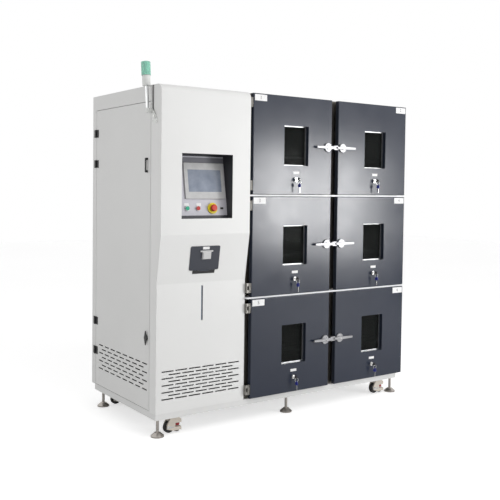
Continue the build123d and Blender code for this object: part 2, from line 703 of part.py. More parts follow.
def flap_pivot():
    """Height below the flap's centre, and stand-off from the slope, of the flap's pin."""
    return -FLAP_HEIGHT / 2 - FLAP_BARREL_RADIUS - FACE_CLEARANCE, FLAP_BARREL_RADIUS + FACE_CLEARANCE


def flap_hinge_base():
    up, out = flap_pivot()
    r, end, knuckle = FLAP_BARREL_RADIUS, FLAP_HINGE_WIDTH / 2, FLAP_KNUCKLE / 2 + HOLE_CLEARANCE
    hinge = block(-end, end, up - r - FLAP_HINGE_LEAF, up - r, 0, SHEET)
    for x0, x1 in ((-end, -knuckle), (knuckle, end)):
        hinge += block(x0, x1, up - r, up, 0, SHEET)
        hinge += rod_x(up, out, x0, x1, r)
    hinge += rod_x(up, out, -end, end, FLAP_PIN_RADIUS)
    return slope_frame() * hinge


def filler_flap():
    up, out = flap_pivot()
    gap, half = FACE_CLEARANCE, FLAP_KNUCKLE / 2
    plate = Pos(0, 0, gap) * extrude(RectangleRounded(FLAP_WIDTH, FLAP_HEIGHT, FLAP_CORNER_RADIUS),
                                     FLAP_THICKNESS)
    plate += rod_x(up, out, -half, half, FLAP_BARREL_RADIUS)
    plate += block(-half, half, up, -FLAP_HEIGHT / 2 + gap, gap, gap + FLAP_THICKNESS)
    plate -= rod_x(up, out, -half, half, FLAP_PIN_RADIUS + SHAFT_CLEARANCE)
    face = gap + FLAP_THICKNESS
    catch = Pos(CATCH_OFFSET_X, CATCH_OFFSET_UP, face + CATCH_PROUD / 2) * Box(CATCH_WIDTH, CATCH_HEIGHT,
                                                                            CATCH_PROUD)
    catch = chamfer(catch.faces().sort_by(Axis.Z)[-1].edges(), CATCH_PROUD / 3)
    lip_up = CATCH_OFFSET_UP + (CATCH_HEIGHT + CATCH_LIP_HEIGHT) / 2
    catch += Pos(CATCH_OFFSET_X, lip_up, face + CATCH_LIP_PROUD / 2) * Box(CATCH_LIP_WIDTH, CATCH_LIP_HEIGHT,
                                                                        CATCH_LIP_PROUD)
    keep("filler_flap", slope_frame() * plate, slope_frame() * catch)


def water_tank():
    """Tank on its shelf behind the cover, with the level tube behind the window slit."""
    x, y0 = LEVEL_WINDOW_X, TANK_FRONT
    tank = block(x - TANK_WIDTH / 2, x + TANK_WIDTH / 2, y0, y0 + TANK_DEPTH, TANK_BOTTOM, TANK_TOP)
    tank = fillet(tank.edges().filter_by(Axis.Z), TANK_CORNER)
    neck_y = y0 + 2 * TANK_NECK_RADIUS
    tank += rod_z(x, neck_y, TANK_TOP, TANK_TOP + TANK_NECK_HEIGHT, TANK_NECK_RADIUS)
    tube_y = LOWER_FRONT + SHEET + FACE_CLEARANCE + LEVEL_TUBE_RADIUS
    low, high = TANK_BOTTOM + LEVEL_TUBE_MARGIN, TANK_TOP - LEVEL_TUBE_MARGIN
    tube = rod_z(x, tube_y, low, high, LEVEL_TUBE_RADIUS)
    for z in (low + LEVEL_TUBE_RADIUS, high - LEVEL_TUBE_RADIUS):
        tank += rod_y(x, z, tube_y, y0, TANK_ELBOW_RADIUS) - tube
    shelf = block(SIDE_FRAME_THICKNESS, COLUMN_WIDTH + SHEET, TANK_SHELF_FRONT, y0 + TANK_DEPTH,
                  TANK_BOTTOM - TANK_SHELF, TANK_BOTTOM)
    keep("water_tank", tank, tube, shelf)


# Control recess: a deep box whose back leans, with the screen and the buttons on it

def recess_frame():
    """Frame in the middle of the leaning panel, pointing out of it."""
    top, bottom = UPPER_FRONT + RECESS_DEPTH_TOP, UPPER_FRONT + RECESS_DEPTH_BOTTOM
    middle = (RECESS_LEFT + RECESS_WIDTH / 2, (top + bottom) / 2, RECESS_BOTTOM + RECESS_HEIGHT / 2)
    return Plane(origin=middle, x_dir=(1, 0, 0), z_dir=(0, -RECESS_HEIGHT, top - bottom))


def panel_box(x, up, width, height, out0, out1):
    """A box standing on the leaning panel, between two heights above its face."""
    return recess_frame() * Pos(x, up, (out0 + out1) / 2) * Box(width, height, out1 - out0)


def panel_rod(x, out0, out1, radius):
    """A rod in the row of buttons."""
    return recess_frame() * Pos(x, -BUTTON_DROP, (out0 + out1) / 2) * Cylinder(radius, out1 - out0)


def recess_box():
    w, front = SHEET, UPPER_FRONT + SHEET
    x0, x1 = RECESS_LEFT, RECESS_LEFT + RECESS_WIDTH
    z0, z1 = RECESS_BOTTOM, RECESS_BOTTOM + RECESS_HEIGHT
    deep, shallow = UPPER_FRONT + RECESS_DEPTH_TOP, UPPER_FRONT + RECESS_DEPTH_BOTTOM
    f = RECESS_FLANGE
    box = side_profile([(front, z0 - w), (front, z1 + w), (deep + w, z1 + w), (shallow + w, z0 - w)],
                       x0 - w, x1 + w)
    box += block(x0 - f, x1 + f, front, front + w, z0 - f, z1 + f)
    box -= side_profile([(front, z0), (front, z1), (deep, z1), (shallow, z0)], x0, x1)
    step = SCREEN_BODY_STEP - SHEET / 2
    box -= panel_box(SCREEN_OFFSET_X, SCREEN_OFFSET_UP, SCREEN_UNIT_WIDTH - 2 * step,
                     SCREEN_UNIT_HEIGHT - 2 * step, -3 * w, 3 * w)
    for x in (GREEN_OFFSET, RED_OFFSET):
        box -= panel_rod(x, -3 * w, 3 * w, BUTTON_SHANK_RADIUS + SHAFT_CLEARANCE)
    return box - panel_rod(ESTOP_OFFSET, -3 * w, 3 * w, ESTOP_STEM_RADIUS + SHAFT_CLEARANCE)


def control_recess():
    keep("control_recess", recess_box())
    for x in (GREEN_OFFSET, RED_OFFSET):
        ring = panel_rod(x, 0, BEZEL_PROUD, BEZEL_RADIUS)
        keep("control_recess", ring - panel_rod(x, 0, BEZEL_PROUD, BUTTON_RADIUS + FACE_CLEARANCE))
    collar = panel_rod(ESTOP_OFFSET, 0, ESTOP_COLLAR_PROUD, ESTOP_COLLAR_RADIUS)
    collar -= panel_rod(ESTOP_OFFSET, 0, ESTOP_COLLAR_PROUD, ESTOP_STEM_RADIUS + SHAFT_CLEARANCE)
    socket = panel_box(SOCKET_OFFSET, -BUTTON_DROP, SOCKET_WIDTH, SOCKET_HEIGHT, 0, SOCKET_PROUD)
    socket -= panel_box(SOCKET_OFFSET, -BUTTON_DROP, SOCKET_WIDTH - 2 * SOCKET_WALL,
                        SOCKET_HEIGHT - 2 * SOCKET_WALL, EDGE_BREAK, SOCKET_PROUD)
    keep("control_recess", collar, socket)


def push_buttons():
    for name, x in (("green_button", GREEN_OFFSET), ("red_button", RED_OFFSET)):
        cap = panel_rod(x, BUTTON_SKIRT, BUTTON_PROUD, BUTTON_RADIUS)
        keep(name, cap + panel_rod(x, -BUTTON_SHANK_BACK, BUTTON_SKIRT, BUTTON_SHANK_RADIUS))


def emergency_stop():
    low = ESTOP_COLLAR_PROUD + ESTOP_TRAVEL + EDGE_BREAK
    r, stem = ESTOP_RADIUS, ESTOP_STEM_RADIUS
    head = turned([(0, low), (r - EDGE_BREAK, low), (r, low + EDGE_BREAK), (r, ESTOP_PROUD), (0, ESTOP_PROUD)])
    head = fillet(head.edges().sort_by(Axis.Z)[-1], ESTOP_DOME)
    head += Pos(0, 0, (low - BUTTON_SHANK_BACK) / 2) * Cylinder(stem, low + BUTTON_SHANK_BACK)
    keep("emergency_stop", recess_frame() * Pos(ESTOP_OFFSET, -BUTTON_DROP, 0) * head)


def touch_screen():
    bezel = extrude(RectangleRounded(SCREEN_UNIT_WIDTH, SCREEN_UNIT_HEIGHT, SCREEN_UNIT_CORNER),
                    SCREEN_UNIT_PROUD)
    bezel = chamfer(bezel.faces().sort_by(Axis.Z)[-1].edges(), EDGE_BREAK)
    bezel += Pos(0, 0, -SCREEN_UNIT_DEPTH / 2) * Box(SCREEN_UNIT_WIDTH - 2 * SCREEN_BODY_STEP,
                                                    SCREEN_UNIT_HEIGHT - 2 * SCREEN_BODY_STEP,
                                                    SCREEN_UNIT_DEPTH)
    floor = SCREEN_UNIT_PROUD - GLASS_DEPTH
    bezel -= Pos(0, 0, floor + GLASS_DEPTH / 2) * Box(GLASS_WIDTH, GLASS_HEIGHT, GLASS_DEPTH)
    glass = Pos(0, 0, floor + GLASS_DEPTH / 4) * Box(GLASS_WIDTH, GLASS_HEIGHT, GLASS_DEPTH / 2)
    place = recess_frame() * Pos(SCREEN_OFFSET_X, SCREEN_OFFSET_UP, 0)
    keep("touch_screen", place * bezel, place * glass)


# Left side frame, service door, its hinges, pull and quarter-turn handle

def left_frame():
    t, gap, lip = SIDE_FRAME_THICKNESS, SERVICE_DOOR_GAP, SERVICE_DOOR_LIP
    seat = SERVICE_DOOR_THICKNESS + FACE_CLEARANCE
    y0, y1 = SERVICE_DOOR_FRONT - gap, SERVICE_DOOR_BACK + gap
    z0, z1 = SERVICE_DOOR_BOTTOM - gap, SERVICE_DOOR_TOP + gap
    frame = block(0, t, COVER_DEPTH_BACK, CABINET_BACK, PANEL_BOTTOM, CABINET_TOP - SHEET)
    frame -= block(0, seat, y0, y1, z0, z1)
    frame -= block(seat, t, y0 + lip, y1 - lip, z0 + lip, z1 - lip)
    keep("left_frame", frame, *[service_hinge_base(z) for z in SERVICE_HINGE_HEIGHTS])


def service_hinge_base(z):
    """Leaf on the rear stile with the two outer knuckles and the pin."""
    px, py = SERVICE_PIVOT
    r, half = SERVICE_HINGE_RADIUS, SERVICE_HINGE_HEIGHT / 2
    knuckle = SERVICE_HINGE_KNUCKLE / 2 + HOLE_CLEARANCE
    edge = py + r + HOLE_CLEARANCE
    base = block(-HINGE_LEAF, 0, edge, edge + SERVICE_HINGE_LEAF, z - half, z + half)
    for z0, z1 in ((z - half, z - knuckle), (z + knuckle, z + half)):
        base += rod_z(px, py, z0, z1, r)
        base += block(-HINGE_LEAF, 0, py, edge, z0, z1)
    return base + rod_z(px, py, z - half, z + half, SERVICE_HINGE_PIN)


def service_hinge_leaf(z):
    """Leaf on the door with the centre knuckle."""
    px, py = SERVICE_PIVOT
    half, knuckle = SERVICE_HINGE_HEIGHT / 2, SERVICE_HINGE_KNUCKLE / 2
    edge = SERVICE_DOOR_BACK - SERVICE_HINGE_RADIUS
    leaf = block(-HINGE_LEAF, 0, edge - SERVICE_HINGE_LEAF, edge, z - half, z + half)
    leaf += block(-HINGE_LEAF, 0, edge, py, z - knuckle, z + knuckle)
    leaf += rod_z(px, py, z - knuckle, z + knuckle, SERVICE_HINGE_RADIUS)
    return leaf - rod_z(px, py, z - half, z + half, SERVICE_HINGE_PIN + SHAFT_CLEARANCE)


def service_door():
    y0, y1, z0, z1 = SERVICE_DOOR_FRONT, SERVICE_DOOR_BACK, SERVICE_DOOR_BOTTOM, SERVICE_DOOR_TOP
    s = COVER_SHEET
    door = block(0, SERVICE_DOOR_THICKNESS, y0, y1, z0, z1)
    door -= block(s, SERVICE_DOOR_THICKNESS, y0 + s, y1 - s, z0 + s, z1 - s)
    for z in STIFFENER_HEIGHTS:
        door += block(s, STIFFENER_DEPTH, y0 + s, y1 - s, z, z + STIFFENER_WIDTH)
        door -= block(s, STIFFENER_DEPTH - s, y0 + s, y1 - s, z + s, z + STIFFENER_WIDTH - s)
    door -= brick_slots(lambda a0, a1, b0, b1: block(0, s, a0, a1, b0, b1), SIDE_VENT_FRONT,
                        SIDE_VENT_WIDTH, SIDE_VENT_TOP, SIDE_VENT_ROWS, SIDE_VENT_SLOTS,
                        SIDE_VENT_PITCH_Z, SIDE_SLOT_SHARE)
    door -= rod_x(SERVICE_LOCK_Y, SERVICE_LOCK_Z, 0, s, SERVICE_LOCK_SPINDLE + SHAFT_CLEARANCE)
    keep("service_door", door, service_pull(), *[service_hinge_leaf(z) for z in SERVICE_HINGE_HEIGHTS])


def service_pull():
    y0, y1 = PULL_Y - PULL_WIDTH / 2, PULL_Y + PULL_WIDTH / 2
    pull = block(-PULL_PROUD, 0, y0, y1, PULL_BOTTOM, PULL_TOP)
    pull = fillet(pull.faces().sort_by(Axis.X)[0].edges().filter_by(Axis.Y), PULL_GRIP)
    return pull - block(PULL_GRIP - PULL_PROUD, 0, y0, y1, PULL_BOTTOM + PULL_POST, PULL_TOP - PULL_POST)


def service_lock():
    """Quarter-turn handle with pointed ends, its spindle and a short cam behind the sheet."""
    y, z, r = SERVICE_LOCK_Y, SERVICE_LOCK_Z, SERVICE_LOCK_HUB_RADIUS
    front, half = -SERVICE_LOCK_PROUD, SERVICE_LOCK_LENGTH / 2
    bar = side_profile([(y - r, z), (y, z + half), (y + r, z), (y, z - half)], front, front / 2)
    handle = bar + rod_x(y, z, front, -FACE_CLEARANCE, r)
    handle += rod_x(y, z, -FACE_CLEARANCE, SERVICE_CAM_BACK, SERVICE_LOCK_SPINDLE)
    cam_front = SERVICE_CAM_BACK - HINGE_TAB
    handle += block(cam_front, SERVICE_CAM_BACK, y - SERVICE_CAM_REACH, y + r / 2, z - r / 2, z + r / 2)
    keep("service_lock", handle)


# Cabinet shell: top and right side bent from one sheet, rear covers, face frame

def outer_wrapper():
    top, right = CABINET_TOP, CABINET_WIDTH
    shell = block(0, right, FRAME_FACE, CABINET_BACK, PANEL_BOTTOM, top)
    shell = fillet(shell.edges().filter_by(Axis.Y).sort_by(lambda e: e.center().X + e.center().Z)[-1],
                   SHEET_BEND)
    shell -= block(0, right - SHEET, FRAME_FACE, CABINET_BACK, PANEL_BOTTOM, top - SHEET)
    shell -= block(0, COLUMN_WIDTH, FRAME_FACE, COVER_DEPTH_BACK, PANEL_BOTTOM, top)
    keep("outer_wrapper", shell)


def rear_cover():
    y0, y1 = CABINET_BACK - SHEET, CABINET_BACK
    wall = COLUMN_WIDTH + SHEET
    bay = block(SIDE_FRAME_THICKNESS, wall, y0, y1, PANEL_BOTTOM, CABINET_TOP - SHEET)
    width = wall - SIDE_FRAME_THICKNESS - 2 * REAR_VENT_MARGIN
    bay -= brick_slots(lambda a0, a1, z0, z1: block(a0, a1, y0, y1, z0, z1),
                       SIDE_FRAME_THICKNESS + REAR_VENT_MARGIN, width, REAR_VENT_TOP, REAR_VENT_ROWS,
                       REAR_VENT_SLOTS, REAR_VENT_PITCH_Z, REAR_SLOT_SHARE)
    chambers = block(wall, CABINET_WIDTH - SHEET, y0, y1, PANEL_BOTTOM, CABINET_TOP - SHEET)
    keep("rear_cover", bay, chambers)


def face_frame():
    """Front plate around the six chamber mouths, with a rim turned back along its edges."""
    x0, x1 = COLUMN_WIDTH, CABINET_WIDTH - SHEET
    z0, z1 = PANEL_BOTTOM, CABINET_TOP - SHEET
    w, back = SHEET, FRAME_FACE + FRAME_RIM
    frame = block(x0, x1, FRAME_FACE, back, z0, z1)
    frame -= block(x0 + w, x1 - w, FRAME_FACE + w, back, z0 + w, z1 - w)
    for side, row in each_door():
        cx, cz = door_centre(side, row)
        frame -= front_box(cx, cz, CHAMBER_WIDTH, CHAMBER_HEIGHT, FRAME_FACE, FRAME_FACE + w)
    keep("face_frame", frame, *[row_strip(row) for row in ROWS[:-1]])


def row_strip(row):
    """White strip that fills the gap above a row of doors."""
    low = door_z(row) + DOOR_HEIGHT + ROW_STRIP_CLEARANCE
    high = door_z(row) + ROW_PITCH - ROW_STRIP_CLEARANCE
    return block(COLUMN_WIDTH, DOORS_RIGHT - ROW_STRIP_FRONT, ROW_STRIP_FRONT, FRAME_FACE, low, high)


# Chambers: stainless liners, a duct plate at the back of each, and a shelf on two rails

def chamber_liner(cx, cz):
    front, w = FRAME_FACE + SHEET, CHAMBER_WALL
    liner = front_box(cx, cz, CHAMBER_WIDTH + 2 * w, CHAMBER_HEIGHT + 2 * w, front, CHAMBER_BACK + w)
    liner += front_box(cx, cz, CHAMBER_WIDTH + 2 * LINER_FLANGE, CHAMBER_HEIGHT + 2 * LINER_FLANGE,
                       front, front + w)
    return liner - front_box(cx, cz, CHAMBER_WIDTH, CHAMBER_HEIGHT, front, CHAMBER_BACK)


def duct_plate(cx, cz):
    """Slotted plate in front of the fan space at the back of a chamber."""
    plate = front_box(cx, cz, CHAMBER_WIDTH, CHAMBER_HEIGHT, DUCT_FRONT, DUCT_FRONT + CHAMBER_WALL)
    pitch = CHAMBER_HEIGHT / (DUCT_SLOTS + 1)
    low = cz - CHAMBER_HEIGHT / 2
    return plate - [front_box(cx, low + (i + 1) * pitch, DUCT_SLOT_WIDTH, DUCT_SLOT_HEIGHT, DUCT_FRONT,
                              DUCT_FRONT + CHAMBER_WALL) for i in range(DUCT_SLOTS)]


def shelf_rails(cx, z):
    """Angle rails on both walls, their tops at height z."""
    rails = []
    for side in (-1, 1):
        wall = cx + side * CHAMBER_WIDTH / 2
        inner, web = wall - side * RAIL_SIZE, wall - side * CHAMBER_WALL
        rail = block(min(wall, inner), max(wall, inner), SHELF_FRONT, DUCT_FRONT, z - CHAMBER_WALL, z)
        rail += block(min(wall, web), max(wall, web), SHELF_FRONT, DUCT_FRONT, z - RAIL_SIZE, z)
        rails.append(rail)
    return rails


def shelf(cx, z):
    """Slotted shelf resting on the rails, its front and back edges turned down between them."""
    w, half = CHAMBER_WALL, CHAMBER_WIDTH / 2
    front, back = SHELF_FRONT, DUCT_FRONT - SHELF_EDGE
    plate = block(cx - half + SHELF_SIDE_GAP, cx + half - SHELF_SIDE_GAP, front, back, z, z + w)
    inner = half - RAIL_SIZE - HOLE_CLEARANCE
    for y0, y1 in ((front, front + w), (back - w, back)):
        plate += block(cx - inner, cx + inner, y0, y1, z - SHELF_EDGE, z)
    pitch = (back - front) / (SHELF_SLOTS + SHELF_SLOT_SHARE)
    slot, reach = SHELF_SLOT_SHARE * pitch, inner - RAIL_SIZE
    for i in range(SHELF_SLOTS):
        y = front + slot + i * pitch
        plate -= block(cx - reach, cx + reach, y, y + slot, z, z + w)
    return plate


def chambers():
    for side, row in each_door():
        cx, cz = door_centre(side, row)
        keep("chamber_liners", chamber_liner(cx, cz))
        shelf_z = cz - SHELF_DROP
        keep("chamber_racks", duct_plate(cx, cz), shelf(cx, shelf_z), *shelf_rails(cx, shelf_z))
        keep("door_gaskets", front_ring(cx, cz, CHAMBER_WIDTH, CHAMBER_HEIGHT, GASKET_WIDTH,
                                        DOOR_THICKNESS + FACE_CLEARANCE, FRAME_FACE))


# Chamber doors: painted pan with the window's tunnel, stainless liner with a plug, pane

def window_x(side):
    return door_x(side) + DOOR_WIDTH / 2 + WINDOW_OFFSET


def latch_x(side):
    """Latches sit beside the centre post."""
    return RIGHT_DOOR_LEFT + LATCH_INSET if side == "right" else DOOR_LEFT_EDGE + DOOR_WIDTH - LATCH_INSET


def door_pan(side, row):
    cx, cz = door_centre(side, row)
    wx, s = window_x(side), COVER_SHEET
    pan = front_box(cx, cz, DOOR_WIDTH, DOOR_HEIGHT, 0, DOOR_THICKNESS)
    pan = fillet(pan.faces().sort_by(Axis.Y)[0].edges(), DOOR_CORNER_RADIUS)
    pan -= front_box(cx, cz, DOOR_WIDTH - 2 * s, DOOR_HEIGHT - 2 * s, s, DOOR_THICKNESS)
    pan += front_ring(wx, cz, WINDOW_WIDTH, WINDOW_HEIGHT, s, 0, PANE_FRONT)
    pan += front_ring(wx, cz, WINDOW_WIDTH, WINDOW_HEIGHT, PANE_LAP, PANE_FRONT - s, PANE_FRONT)
    pan -= front_box(wx, cz, WINDOW_WIDTH, WINDOW_HEIGHT, 0, PANE_FRONT)
    pan -= rod_y(latch_x(side), cz, 0, s, LATCH_SPINDLE_RADIUS + SHAFT_CLEARANCE)
    return pan - rod_y(wx, cz - LOCK_DROP, 0, s, LOCK_BODY_RADIUS)


def door_liner(side, row):
    cx, cz = door_centre(side, row)
    wx, s, back = window_x(side), COVER_SHEET, DOOR_PLUG_BACK
    width, height = CHAMBER_WIDTH - 2 * PLUG_CLEARANCE, CHAMBER_HEIGHT - 2 * PLUG_CLEARANCE
    pane_back = PANE_FRONT + PANE_THICKNESS
    liner = front_box(cx, cz, DOOR_WIDTH - 2 * s, DOOR_HEIGHT - 2 * s, DOOR_THICKNESS - s, DOOR_THICKNESS)
    liner += front_box(cx, cz, width, height, DOOR_THICKNESS - s, back)
    liner -= front_box(cx, cz, width - 2 * s, height - 2 * s, DOOR_THICKNESS - s, back - s)
    liner += front_ring(wx, cz, WINDOW_WIDTH, WINDOW_HEIGHT, s, pane_back, back)
    liner += front_ring(wx, cz, WINDOW_WIDTH, WINDOW_HEIGHT, PANE_LAP, pane_back, pane_back + s)
    liner += front_ring(wx, cz, WINDOW_WIDTH + 2 * PANE_LAP, WINDOW_HEIGHT + 2 * PANE_LAP, s,
                        PANE_FRONT, pane_back + s)
    return liner - front_box(wx, cz, WINDOW_WIDTH, WINDOW_HEIGHT, pane_back, back)


def lock_body(side, row):
    """Fixed collar and barrel that the lock's plug turns in."""
    x, z = window_x(side), door_centre(side, row)[1] - LOCK_DROP
    body = rod_y(x, z, -LOCK_COLLAR, 0, LOCK_COLLAR_RADIUS)
    body += rod_y(x, z, 0, LOCK_BODY_BACK, LOCK_BODY_RADIUS)
    return body - rod_y(x, z, -LOCK_COLLAR, LOCK_BODY_BACK, LOCK_PLUG_RADIUS)


def doors():
    lap = 2 * PANE_LAP - 2 * FACE_CLEARANCE
    for side, row in each_door():
        leaf = left_hinge_leaf if side == "left" else right_hinge_leaf
        keep(f"door_{row}_{side}", door_pan(side, row), door_liner(side, row), lock_body(side, row),
             *[leaf(z) for z in hinge_heights(row)])
        pane = front_box(window_x(side), door_centre(side, row)[1], WINDOW_WIDTH + lap,
                         WINDOW_HEIGHT + lap, PANE_FRONT, PANE_FRONT + PANE_THICKNESS)
        keep(f"glass_{row}_{side}", pane)


# Door hinges: fixed halves with pins on the cabinet, moving leaves on the doors

def hinge_heights(row):
    return door_z(row) + HINGE_INSET, door_z(row) + DOOR_HEIGHT - HINGE_INSET


def outer_knuckles(z):
    """Height ranges of a hinge's two fixed knuckles."""
    half, centre = HINGE_HEIGHT / 2, HINGE_KNUCKLE / 2 + HOLE_CLEARANCE
    return (z - half, z - centre), (z + centre, z + half)


def left_hinge_base(z):
    px, py = LEFT_PIVOT
    half = HINGE_HEIGHT / 2
    tab = COLUMN_WIDTH + HINGE_TAB
    base = block(COLUMN_WIDTH, tab, py - HINGE_WEB, FRAME_FACE, z - half, z + half)
    for z0, z1 in outer_knuckles(z):
        base += rod_z(px, py, z0, z1, HINGE_BARREL_RADIUS)
        base += block(tab, px - HINGE_PIN_RADIUS, py - HINGE_WEB / 2, py + HINGE_WEB / 2, z0, z1)
    return base + rod_z(px, py, z - half, z + half, HINGE_PIN_RADIUS)


def left_hinge_leaf(z):
    px, py = LEFT_PIVOT
    half, knuckle = HINGE_HEIGHT / 2, HINGE_KNUCKLE / 2
    plate_x = DOOR_LEFT_EDGE - HINGE_LEAF
    leaf = block(plate_x, DOOR_LEFT_EDGE, DOOR_CORNER_RADIUS, DOOR_THICKNESS - LEFT_LEAF_MARGIN,
                 z - half, z + half)
    leaf += rod_z(px, py, z - knuckle, z + knuckle, HINGE_BARREL_RADIUS)
    leaf += block(px, plate_x, py - HINGE_WEB, py + HINGE_WEB, z - knuckle, z + knuckle)
    return leaf - rod_z(px, py, z - half, z + half, HINGE_PIN_RADIUS + SHAFT_CLEARANCE)


def right_hinge_base(z):
    px, py = RIGHT_PIVOT
    half = HINGE_HEIGHT / 2
    behind = py + HINGE_BARREL_RADIUS + HOLE_CLEARANCE
    base = block(CABINET_WIDTH, px + HINGE_LEAF, behind, behind + HINGE_WEB, z - half, z + half)
    base += block(CABINET_WIDTH, CABINET_WIDTH + HINGE_TAB, behind, behind + RIGHT_TAB_DEPTH,
                  z - half, z + half)
    for z0, z1 in outer_knuckles(z):
        base += rod_z(px, py, z0, z1, HINGE_BARREL_RADIUS)
        base += block(px - HINGE_WEB, px + HINGE_LEAF, py, behind, z0, z1)
    return base + rod_z(px, py, z - half, z + half, HINGE_PIN_RADIUS)


def right_hinge_leaf(z):
    px, py = RIGHT_PIVOT
    half, knuckle = HINGE_HEIGHT / 2, HINGE_KNUCKLE / 2
    right = px + HINGE_LEAF
    leaf = block(right - RIGHT_LEAF_WIDTH, right, DOOR_THICKNESS, DOOR_THICKNESS + HINGE_LEAF,
                 z - half, z + half)
    leaf += rod_z(px, py, z - knuckle, z + knuckle, HINGE_BARREL_RADIUS)
    leaf += block(px - HINGE_WEB, right, DOOR_THICKNESS, py, z - knuckle, z + knuckle)
    return leaf - rod_z(px, py, z - half, z + half, HINGE_PIN_RADIUS + SHAFT_CLEARANCE)


def keeper(row):
    """Stop block on the centre post that both latches of a row pull against."""
    cz = door_centre("left", row)[1]
    nose = FACE_CLEARANCE - LATCH_BAR_BACK
    plate = front_box(POST_CENTRE, cz, KEEPER_WIDTH, KEEPER_PLATE_HEIGHT, FRAME_FACE - KEEPER_PLATE,
                      FRAME_FACE)
    stop = front_box(POST_CENTRE, cz, KEEPER_WIDTH, KEEPER_HEIGHT, nose, FRAME_FACE)
    stop = chamfer(stop.faces().sort_by(Axis.Y)[0].edges(), EDGE_BREAK)
    return plate + stop


def door_fittings():
    for row in ROWS:
        for z in hinge_heights(row):
            keep("door_fittings", left_hinge_base(z), right_hinge_base(z))
        keep("door_fittings", keeper(row))


# Latch levers, and the locks with their keys

def latch_levers():
    for side, row in each_door():
        x, z = latch_x(side), door_centre(side, row)[1]
        toward = 1 if side == "left" else -1
        keep(f"lever_{row}_{side}", latch_lever(x, z, toward))


def latch_lever(x, z, toward):
    """Hub with a flat bar: a short tongue toward the centre post and a long arm away from it."""
    mid, end = LATCH_BAR_HEIGHT / 2, LATCH_BAR_END / 2
    hub = LATCH_BOSS_RADIUS
    back = -LATCH_BAR_BACK
    tip, arm = x + toward * LATCH_TONGUE, x - toward * LATCH_ARM
    bar = front_profile([(tip, z - end), (x + toward * hub, z - mid), (x - toward * hub, z - mid),
                         (arm, z - end), (arm, z + end), (x - toward * hub, z + mid),
                         (x + toward * hub, z + mid), (tip, z + end)], back - LATCH_BAR_THICKNESS, back)
    ends = bar.edges().filter_by(Axis.Y).sort_by(Axis.X)
    bar = fillet(ends[:2] + ends[-2:], LATCH_BAR_CORNER)
    bar = chamfer(bar.faces().sort_by(Axis.Y)[0].edges(), EDGE_BREAK)
    disc = rod_y(x, z, -LATCH_HUB_THICKNESS, -FACE_CLEARANCE, LATCH_HUB_RADIUS)
    disc = chamfer(disc.edges().filter_by(GeomType.CIRCLE).sort_by(Axis.Y)[0], EDGE_BREAK)
    lever = bar + disc + rod_y(x, z, back, -LATCH_HUB_THICKNESS, LATCH_BOSS_RADIUS)
    washer = COVER_SHEET + FACE_CLEARANCE
    lever += rod_y(x, z, -FACE_CLEARANCE, washer + LATCH_WASHER, LATCH_SPINDLE_RADIUS)
    return lever + rod_y(x, z, washer, washer + LATCH_WASHER, LATCH_WASHER_RADIUS)


def key(length):
    """A flat key pointing down from its bow; its ring hole's centre is the origin."""
    bow, neck, edge = KEY_BOW / 2, KEY_NECK / 2, KEY_HOLE_MARGIN
    low = edge - KEY_BOW
    cheek = (low - bow) / 2
    plate = side_profile([(-bow, -bow / 2), (-bow / 2, edge), (bow / 2, edge), (bow, -bow / 2), (bow, cheek),
                          (neck, low), (neck, edge - length), (-neck, edge - length), (-neck, low),
                          (-bow, cheek)], -KEY_THICKNESS / 2, KEY_THICKNESS / 2)
    return plate - rod_x(0, 0, -KEY_THICKNESS, KEY_THICKNESS, KEY_HOLE_RADIUS)


def locks():
    slack = KEY_HOLE_RADIUS - KEY_RING_WIRE - 2 * SHAFT_CLEARANCE
    for side, row in each_door():
        x, z = window_x(side), door_centre(side, row)[1] - LOCK_DROP
        face = -LOCK_COLLAR - EDGE_BREAK
        plug = rod_y(x, z, face, LOCK_BODY_BACK, LOCK_PLUG_RADIUS - SHAFT_CLEARANCE)
        hole_y = face - KEY_REACH + KEY_HOLE_MARGIN
        inserted = Pos(x, hole_y, z) * Rot(90, 0, 0) * key(KEY_REACH)
        ring_z = z - slack - KEY_RING_RADIUS
        ring = Pos(x, hole_y, ring_z) * Rot(90, 0, 0) * Torus(KEY_RING_RADIUS, KEY_RING_WIRE)
        spare = Pos(x, hole_y, ring_z - KEY_RING_RADIUS - slack) * key(KEY_LENGTH)
        keep(f"lock_{row}_{side}", plug, inserted, ring, spare)


# Machine bay in the column: tray, condenser with its fan guard, two compressors, receiver, pipes

def condenser():
    """Finned block behind the front vents."""
    x0, x1, y0, y1 = CONDENSER_LEFT, CONDENSER_RIGHT, CONDENSER_FRONT, CONDENSER_FRONT + CONDENSER_DEPTH
    z0, z1 = TRAY_TOP, TRAY_TOP + CONDENSER_HEIGHT
    pitch = (x1 - x0 - SHEET) / CONDENSER_FINS
    fins = block(x0, x1, y0, y1, z0, z0 + SHEET)
    for i in range(CONDENSER_FINS + 1):
        fins += block(x0 + i * pitch, x0 + i * pitch + SHEET, y0, y1, z0, z1)
    for i in range(CONDENSER_TUBES):
        z = z0 + (i + 0.5) * CONDENSER_HEIGHT / CONDENSER_TUBES
        fins += rod_x((y0 + y1) / 2, z, x0, x1, PIPE_RADIUS)
    return fins


